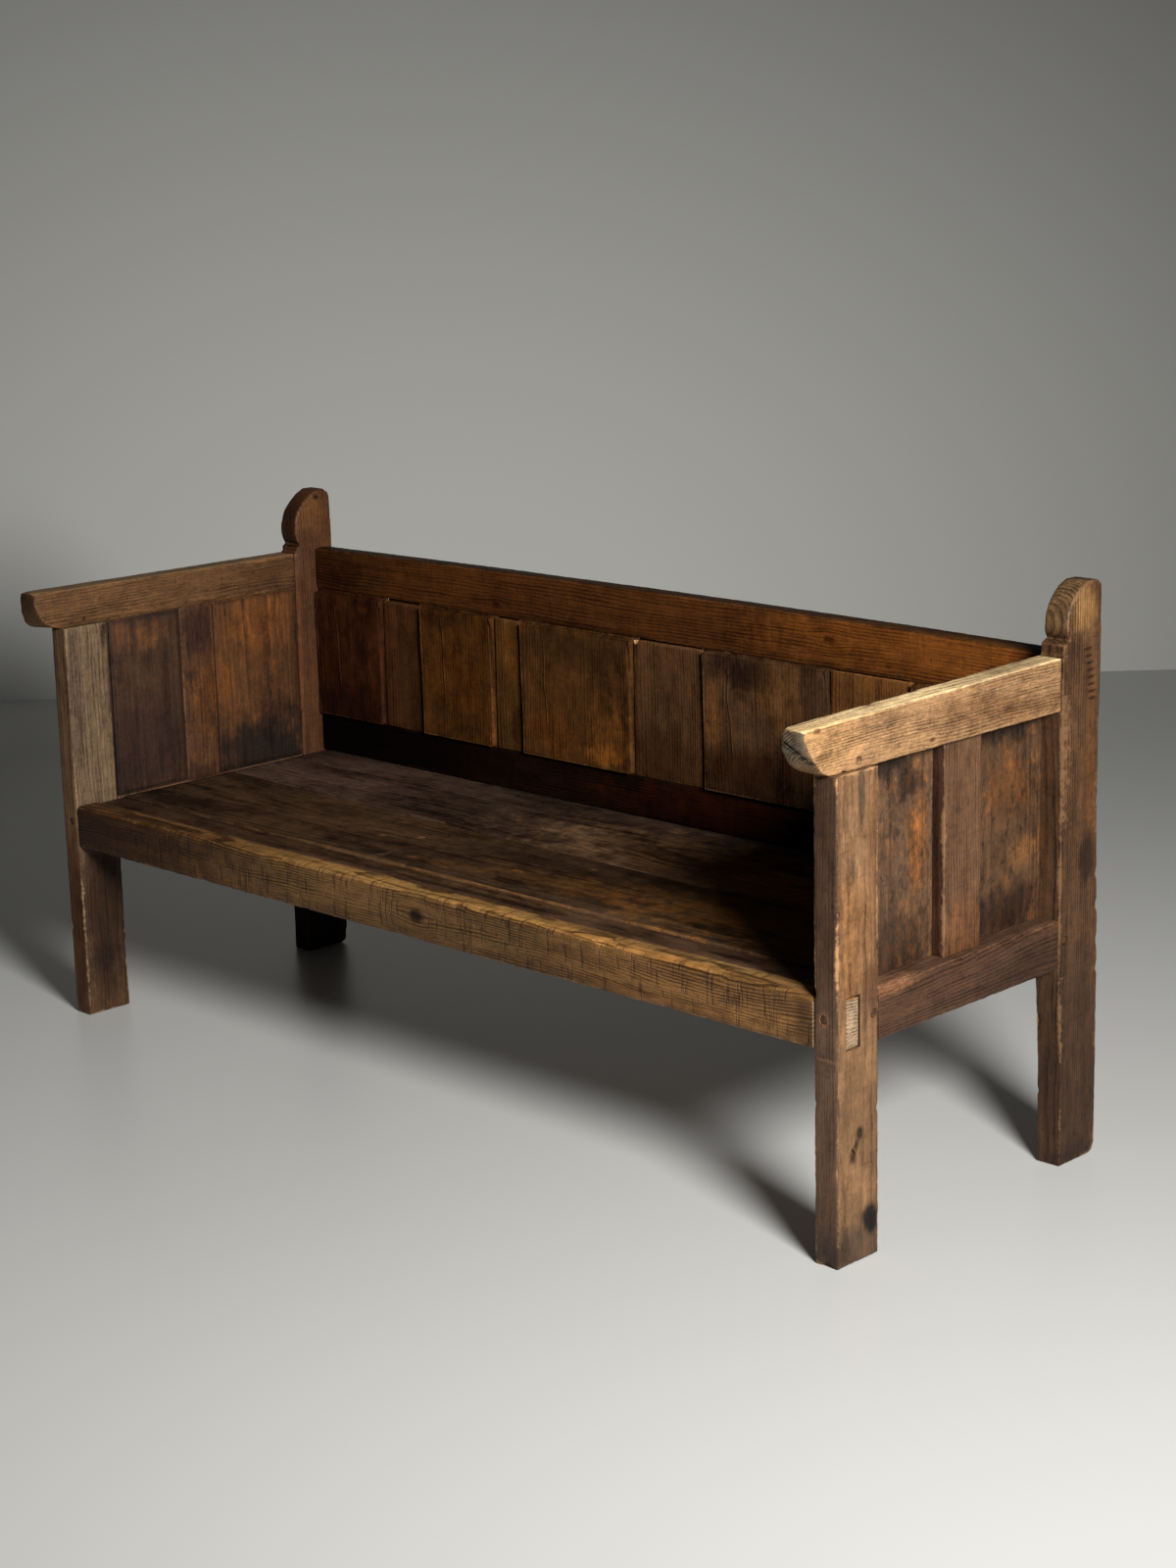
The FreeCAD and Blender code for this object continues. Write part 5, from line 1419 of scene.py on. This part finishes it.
class SETTLE_OT_seat(bpy.types.Operator):
    """Three boards of the seat"""
    bl_idname = "settle.seat"
    bl_label = "Seat boards"

    def execute(self, context):
        end = 901.0
        front = timber("seat_board_front", "X", squared("X", -end, end, (51.5, 106.5, 388.0, 413.0)),
                       cell=18.0, cross=14.0, fine=1, arris=2.0,
                       cuts=[(crack, "+Z", (-400, 70, 413), (100, 74, 413), 1.3, 4.0, 2.0, 13, 91),
                             (crack, "+Z", (250, 88, 413), (700, 84, 413), 1.3, 4.0, 2.0, 13, 92)])
        shared = dict(spacing=7.0, rings=0.5, cloud=0.9, mottle=0.65, grime=0.6, relief=0.7, wear=0.8,
                      sheen=0.12)
        looks = dict(heart=(0, 80, 300), seed=51.0, scratches=0.2,
                     stains_and_painted_light=((118, 91, 413, (260, 16, 8), 0.5, (1.7, 1.8, 1.5)),), **shared)
        place(front, "wood_seat", oak("seat_board_front", "dark_oak", "X", **looks), "seat_board_front")
        shapes = [
            cross_section("X", -end, rectangle(107.8, 371.3, 388.0, 416.0)),
            cross_section("X", end, rectangle(107.8, 321.3, 388.0, 416.0)),
        ]
        cuts = [(crack, "+Z", (-880, 180, 416), (-300, 190, 416), 1.5, 5.0, 4.0, 17, 93),
                (crack, "+Z", (-100, 250, 416), (420, 236, 416), 1.4, 5.0, 4.0, 17, 94),
                (crack, "+Z", (300, 160, 416), (840, 152, 416), 1.4, 5.0, 4.0, 17, 95)]
        middle = timber("seat_board_middle", "X", shapes, cell=20.0, cross=16.0, fine=1, arris=2.0,
                        wave=0.0016,
                        cuts=cuts, dents=((-100, 108, 416, 14, 2.5), (420, 108, 416, 16, 2.5)))
        looks = dict(
            heart=(0, 180, 300), wander=0.04, seed=52.0, scratches=0.3,
            stains_and_painted_light=((-500, 240, 416, (420, 120, 10), 0.9, (1.3, 1.25, 1.2)),
                    (-177, 348, 416, (240, 40, 10), 0.8, (1.4, 1.4, 1.2)),
                    (200, 200, 416, (260, 60, 10), 0.9, (1.6, 1.35, 0.9)),
                    (-287, 222, 416, (12, 7, 10), 0.8, (3.5, 3.2, 2.8)),
                    (-221, 258, 416, (9, 6, 10), 0.8, (3.0, 2.6, 2.2)),
                    (76, 212, 416, (16, 8, 10), 0.8, (3.0, 2.4, 1.6)),
                    (170, 297, 416, (9, 6, 10), 0.8, (3.0, 2.6, 2.0)),
                    (-60, 160, 416, (90, 20, 10), 0.9, (1.9, 1.6, 1.1)),
                    # Painted light: this patch lightens the right of the board, where the right end casts its
                    # shadow.
                    (620, 230, 416, (360, 130, 10), 0.8, (2.1, 1.7, 0.95)),
                    (100, 110, 414, (760, 3.5, 6), 0.5, (3.0, 2.6, 2.0))),
            **shared)
        place(middle, "wood_seat", oak("seat_board_middle", "dark_oak", "X", **looks), "seat_board_middle")
        shapes = [
            cross_section("X", -end, rectangle(372.7, 637.0, 388.0, 416.0)),
            cross_section("X", end, rectangle(322.7, 637.0, 388.0, 416.0)),
        ]
        cuts = [(crack, "+Z", (-850, 470, 416), (-240, 480, 416), 1.5, 5.0, 4.0, 17, 96),
                (crack, "+Z", (100, 520, 416), (700, 510, 416), 1.4, 5.0, 4.0, 17, 97)]
        rear = timber("seat_board_rear", "X", shapes, cell=20.0, cross=16.0, fine=1, arris=2.0, wave=0.0016,
                      cuts=cuts)
        looks = dict(heart=(0, 480, 280), wander=0.04, seed=53.0, scratches=0.16,
                     stains_and_painted_light=((-700, 470, 416, (260, 140, 10), 0.8, (1.4, 1.4, 1.5)),
                             # Painted light: this patch lightens the right of the board, where the right end
                             # casts its shadow.
                             (420, 430, 416, (560, 160, 10), 0.8, (3.6, 3.4, 2.6))), **shared)
        place(rear, "wood_seat", oak("seat_board_rear", "dark_oak", "X", **looks), "seat_board_rear")
        return {"FINISHED"}


class SETTLE_OT_under_seat(bpy.types.Operator):
    """Rear seat rail, cross bearers and ledgers under the boards"""
    bl_idname = "settle.under_seat"
    bl_label = "Timbers under the seat"

    def execute(self, context):
        sawn = dict(spacing=6.0, rings=0.4, cloud=0.4, grime=0.4, wear=0.4)
        rail = timber("rear_seat_rail", "X", squared("X", -INNER_X, INNER_X, (610.0, 652.0, 334.0, 388.0)),
                      cell=14.0,
                      open_ends=True)
        place(rail, "wood_inner",
              oak("rear_seat_rail", "brown_oak", "X", heart=(0, 600, 300), seed=61.0, **sawn),
              "rear_seat_rail")
        for number, (name, middle) in enumerate((("left", -450.0), ("middle", 0.0), ("right", 450.0))):
            node = "seat_bearer_" + name
            limits = (middle - 30.0, middle + 30.0, 338.0, 388.0)
            bearer = timber(node, "Y", squared("Y", 51.0, 610.0, limits), cell=14.0, open_ends=True)
            look = oak(node, "brown_oak", "Y", heart=(middle, 0, 280), seed=62.0 + number, **sawn)
            place(bearer, "wood_inner", look, node)
        for side, s in SIGN.items():
            node = "seat_ledger_" + side
            x0, x1 = sorted((s * 873.5, s * 903.5))
            ledger = timber(node, "Y", squared("Y", 100.0, 540.0, (x0, x1, 350.0, 388.0)), cell=14.0)
            look = oak(node, "brown_oak", "Y", heart=(s * 860, 0, 300), seed=66.0 + s, **sawn)
            place(ledger, "wood_inner", look, node)
        return {"FINISHED"}


def peg(centre, axis, length, radius):
    """One hand-cut peg: a slightly uneven pin with worn ends."""
    bpy.ops.object.select_all(action="DESELECT")
    bpy.ops.mesh.primitive_cylinder_add(vertices=16, radius=radius * MM, depth=length * MM, location=centre,
                                        rotation=LAID_ALONG[axis])
    obj = bpy.context.object
    bpy.ops.object.transform_apply(location=True, rotation=True, scale=True)
    bpy.ops.object.mode_set(mode="EDIT")
    select_edges(obj, is_sharp)
    bpy.ops.mesh.bevel(offset=radius * 0.22 * MM, segments=3, profile=0.5, affect="EDGES")
    finish_piece(obj, [], wave=0.0006)
    return obj


def peg_group(name, material, spots):
    """Pegs of one kind as one object; each spot is centre, axis, length and radius."""
    pegs = [peg(at(*centre), axis, length, radius) for centre, axis, length, radius in spots]
    first = join_into(pegs[0], *pegs[1:])
    first.name = first.data.name = name
    return place(first, "wood_pegs", material, name)


class SETTLE_OT_pegs(bpy.types.Operator):
    """Wooden pegs of the joints"""
    bl_idname = "settle.pegs"
    bl_label = "Pegs"

    def execute(self, context):
        wood = oak("peg_wood", "brown_oak", "Y", spacing=3.0, wear=0.0, grime=0.5, seed=8.0)
        spots = [((s * 923.0, 28.0, RAIL_PEG_HEIGHT), "Y", 56.0, 6.4) for s in SIGN.values()]
        peg_group("front_rail_pegs", wood, spots)
        spots = []
        for side, s in SIGN.items():
            for depth in (FRONT_SIDE_PEG, REAR_POST_FRONT[side] + REAR_SIDE_PEG):
                spots.append(((s * 930.4, depth, SIDE_PEG_HEIGHT), "X", 38.4, 6.4))
        peg_group("side_rail_pegs", wood, spots)
        spots = [((s * 925.25, 48.0, ARM_UNDERSIDE[side] + 17.0), "X", 45.4, 4.0) for side, s in SIGN.items()]
        peg_group("arm_front_pegs", wood, spots)
        spots = [((s * 926.75, REAR_POST_FRONT[side] + 22.0, ARM_UNDERSIDE[side] + 24.0), "X", 45.9, 4.0)
                 for side, s in SIGN.items()]
        peg_group("arm_rear_pegs", wood, spots)
        spots = []
        for s in SIGN.values():
            for z in (790.5, 452.5, 361.0):
                spots.append(((s * 920.5, 633.0, z), "Y", 34.0, 5.4))
        peg_group("back_rail_pegs", wood, spots)
        return {"FINISHED"}


class SETTLE_OT_nails(bpy.types.Operator):
    """Iron nails of the ledgers"""
    bl_idname = "settle.nails"
    bl_label = "Nails"

    def execute(self, context):
        parts = []
        for s in SIGN.values():
            for depth in (140.0, 320.0, 500.0):
                parts.append(peg(at(s * 897.5, depth, 369.0), "X", 48.0, 2.0))
                parts.append(peg(at(s * 872.5, depth, 369.0), "X", 2.4, 5.0))
        nails = join_into(parts[0], *parts[1:])
        nails.name = nails.data.name = "ledger_nails"
        place(nails, "iron_nails", iron(), "ledger_nails")
        return {"FINISHED"}


def wall_finish(paint):
    """Wall with a painted pool of light, palest low in the middle, and a painted shadow low by its corner,
    that a camera behind it looks through.
    """
    material = bpy.data.materials.new("wall_paint")
    material.use_nodes = True
    g = Graph(material.node_tree)
    shader = material.node_tree.nodes["Principled BSDF"]
    here = g.node("ShaderNodeTexCoord").outputs["Object"]
    # Painted light: the paint is palest at the pool's centre and fades away from it.
    away = g.vector("MULTIPLY", g.vector("SUBTRACT", here, WALL_LIGHT_POOL), WALL_LIGHT_FALLOFF)
    gap = g.vector("LENGTH", away)
    fall = g.math("EXPONENT", g.math("MULTIPLY", g.math("MULTIPLY", gap, gap), -1.0))
    # Painted shadow: the paint darkens near the shadow spot low by the corner.
    from_shadow_spot = g.vector("MULTIPLY", g.vector("SUBTRACT", here, WALL_SHADOW_SPOT), WALL_SHADOW_FALLOFF)
    corner = g.vector("LENGTH", from_shadow_spot)
    fall = g.math("MULTIPLY", fall, g.between(corner, 0.05, 0.9, 0.35, 1.0))
    ray = g.node("ShaderNodeLightPath").outputs
    seen = g.math("MAXIMUM", ray["Is Camera Ray"], ray["Is Glossy Ray"])
    fall = g.math("MULTIPLY", fall, g.math("ADD", g.math("MULTIPLY", seen, 0.6), 0.4))
    g.feed(shader.inputs["Base Color"], g.scaled(paint, fall))
    shader.inputs["Roughness"].default_value = 0.8
    clear = g.node("ShaderNodeBsdfTransparent").outputs[0]
    back = g.node("ShaderNodeNewGeometry").outputs["Backfacing"]
    either = g.node("ShaderNodeMixShader", {0: back, 1: shader.outputs[0], 2: clear})
    g.feed(material.node_tree.nodes["Material Output"].inputs["Surface"], either.outputs[0])
    return material


class SETTLE_OT_stage(bpy.types.Operator):
    """Pale floor and wall with painted light and shade, soft lamp and camera"""
    bl_idname = "settle.stage"
    bl_label = "Studio"

    def execute(self, context):
        scene = context.scene
        sizes = scene.settle_sizes
        colours = scene.settle_colours
        bpy.ops.object.select_all(action="DESELECT")
        bpy.ops.mesh.primitive_plane_add(size=2.0 * sizes.floor_reach)
        floor = context.object
        floor.name = floor.data.name = "studio_floor"
        paint = bpy.data.materials.new("floor_paint")
        paint.use_nodes = True
        shader = paint.node_tree.nodes["Principled BSDF"]
        g = Graph(paint.node_tree)
        here = g.node("ShaderNodeTexCoord").outputs["Object"]
        # Painted shade: the floor's paint darkens towards the wall.
        wall_front = (math.sin(WALL_TURN), -math.cos(WALL_TURN), 0.0)
        from_wall = g.vector("DOT_PRODUCT", g.vector("SUBTRACT", here, WALL_FOOT), wall_front)
        shade = g.between(from_wall, 0.2, 3.0, 0.78, 1.04)
        g.feed(shader.inputs["Base Color"], g.scaled(tuple(colours.floor_paint), shade))
        shader.inputs["Roughness"].default_value = 0.35
        floor.data.materials.append(paint)
        bpy.ops.object.select_all(action="DESELECT")
        bpy.ops.mesh.primitive_plane_add(size=2.0 * sizes.floor_reach, rotation=(math.pi / 2, 0.0, 0.0))
        wall = context.object
        wall.name = wall.data.name = "studio_wall"
        turn = Matrix.Rotation(WALL_TURN, 4, "Z")
        bpy.ops.object.transform_apply(location=True, rotation=True, scale=True)
        wall.data.transform(Matrix.Translation(WALL_FOOT) @ turn)
        wall.data.materials.append(wall_finish(tuple(colours.wall_paint)))
        scene.view_settings.view_transform = "Standard"
        world = bpy.data.worlds.new("studio")
        world.use_nodes = True
        world.node_tree.nodes["Background"].inputs["Color"].default_value = (0.97, 0.98, 1.0, 1.0)
        world.node_tree.nodes["Background"].inputs["Strength"].default_value = sizes.room_light
        scene.world = world
        turn = Vector(LAMP_AIM).to_track_quat("-Z", "Y").to_euler()
        bpy.ops.object.light_add(type="AREA", location=LAMP_PLACE, rotation=turn)
        key = context.object
        key.name = "key_lamp"
        key.data.shape = "DISK"
        key.data.size = LAMP_WIDTH
        key.data.spread = LAMP_SPREAD
        key.data.energy = sizes.key_power
        key.visible_camera = False
        data = bpy.data.cameras.new("camera")
        data.lens = CAMERA_LENS
        data.sensor_width = 36.0
        data.clip_end = 60.0
        camera = bpy.data.objects.new("camera", data)
        scene.collection.objects.link(camera)
        view = Matrix((Vector(CAMERA_RIGHT), -Vector(CAMERA_DOWN), -Vector(CAMERA_AHEAD)))
        camera.matrix_world = Matrix.Translation(CAMERA_PLACE) @ view.transposed().to_4x4()
        scene.camera = camera
        return {"FINISHED"}


class SETTLE_PT_panel(bpy.types.Panel):
    bl_idname = "SETTLE_PT_panel"
    bl_label = "Joined settle"
    bl_space_type = "VIEW_3D"
    bl_region_type = "UI"
    bl_category = "Settle"

    def draw(self, context):
        for group in (context.scene.settle_sizes, context.scene.settle_colours):
            for key in group.__annotations__:
                self.layout.prop(group, key)
        for operator in OPERATORS:
            self.layout.operator(operator.bl_idname)


OPERATORS = (
    SETTLE_OT_front_posts, SETTLE_OT_rear_posts, SETTLE_OT_arms, SETTLE_OT_front_rail, SETTLE_OT_side_rails,
    SETTLE_OT_side_frames, SETTLE_OT_back_rails, SETTLE_OT_back_frames, SETTLE_OT_seat, SETTLE_OT_under_seat,
    SETTLE_OT_pegs, SETTLE_OT_nails, SETTLE_OT_stage,
)
CLASSES = (SettleSizes, SettleColours, *OPERATORS, SETTLE_PT_panel)


def register():
    for cls in CLASSES:
        bpy.utils.register_class(cls)
    bpy.types.Scene.settle_sizes = bpy.props.PointerProperty(type=SettleSizes)
    bpy.types.Scene.settle_colours = bpy.props.PointerProperty(type=SettleColours)


def unregister():
    del bpy.types.Scene.settle_colours
    del bpy.types.Scene.settle_sizes
    for cls in reversed(CLASSES):
        bpy.utils.unregister_class(cls)


def main():
    register()
    for operator in OPERATORS:
        group, name = operator.bl_idname.split(".")
        getattr(getattr(bpy.ops, group), name)()


if __name__ == "__main__":
    main()
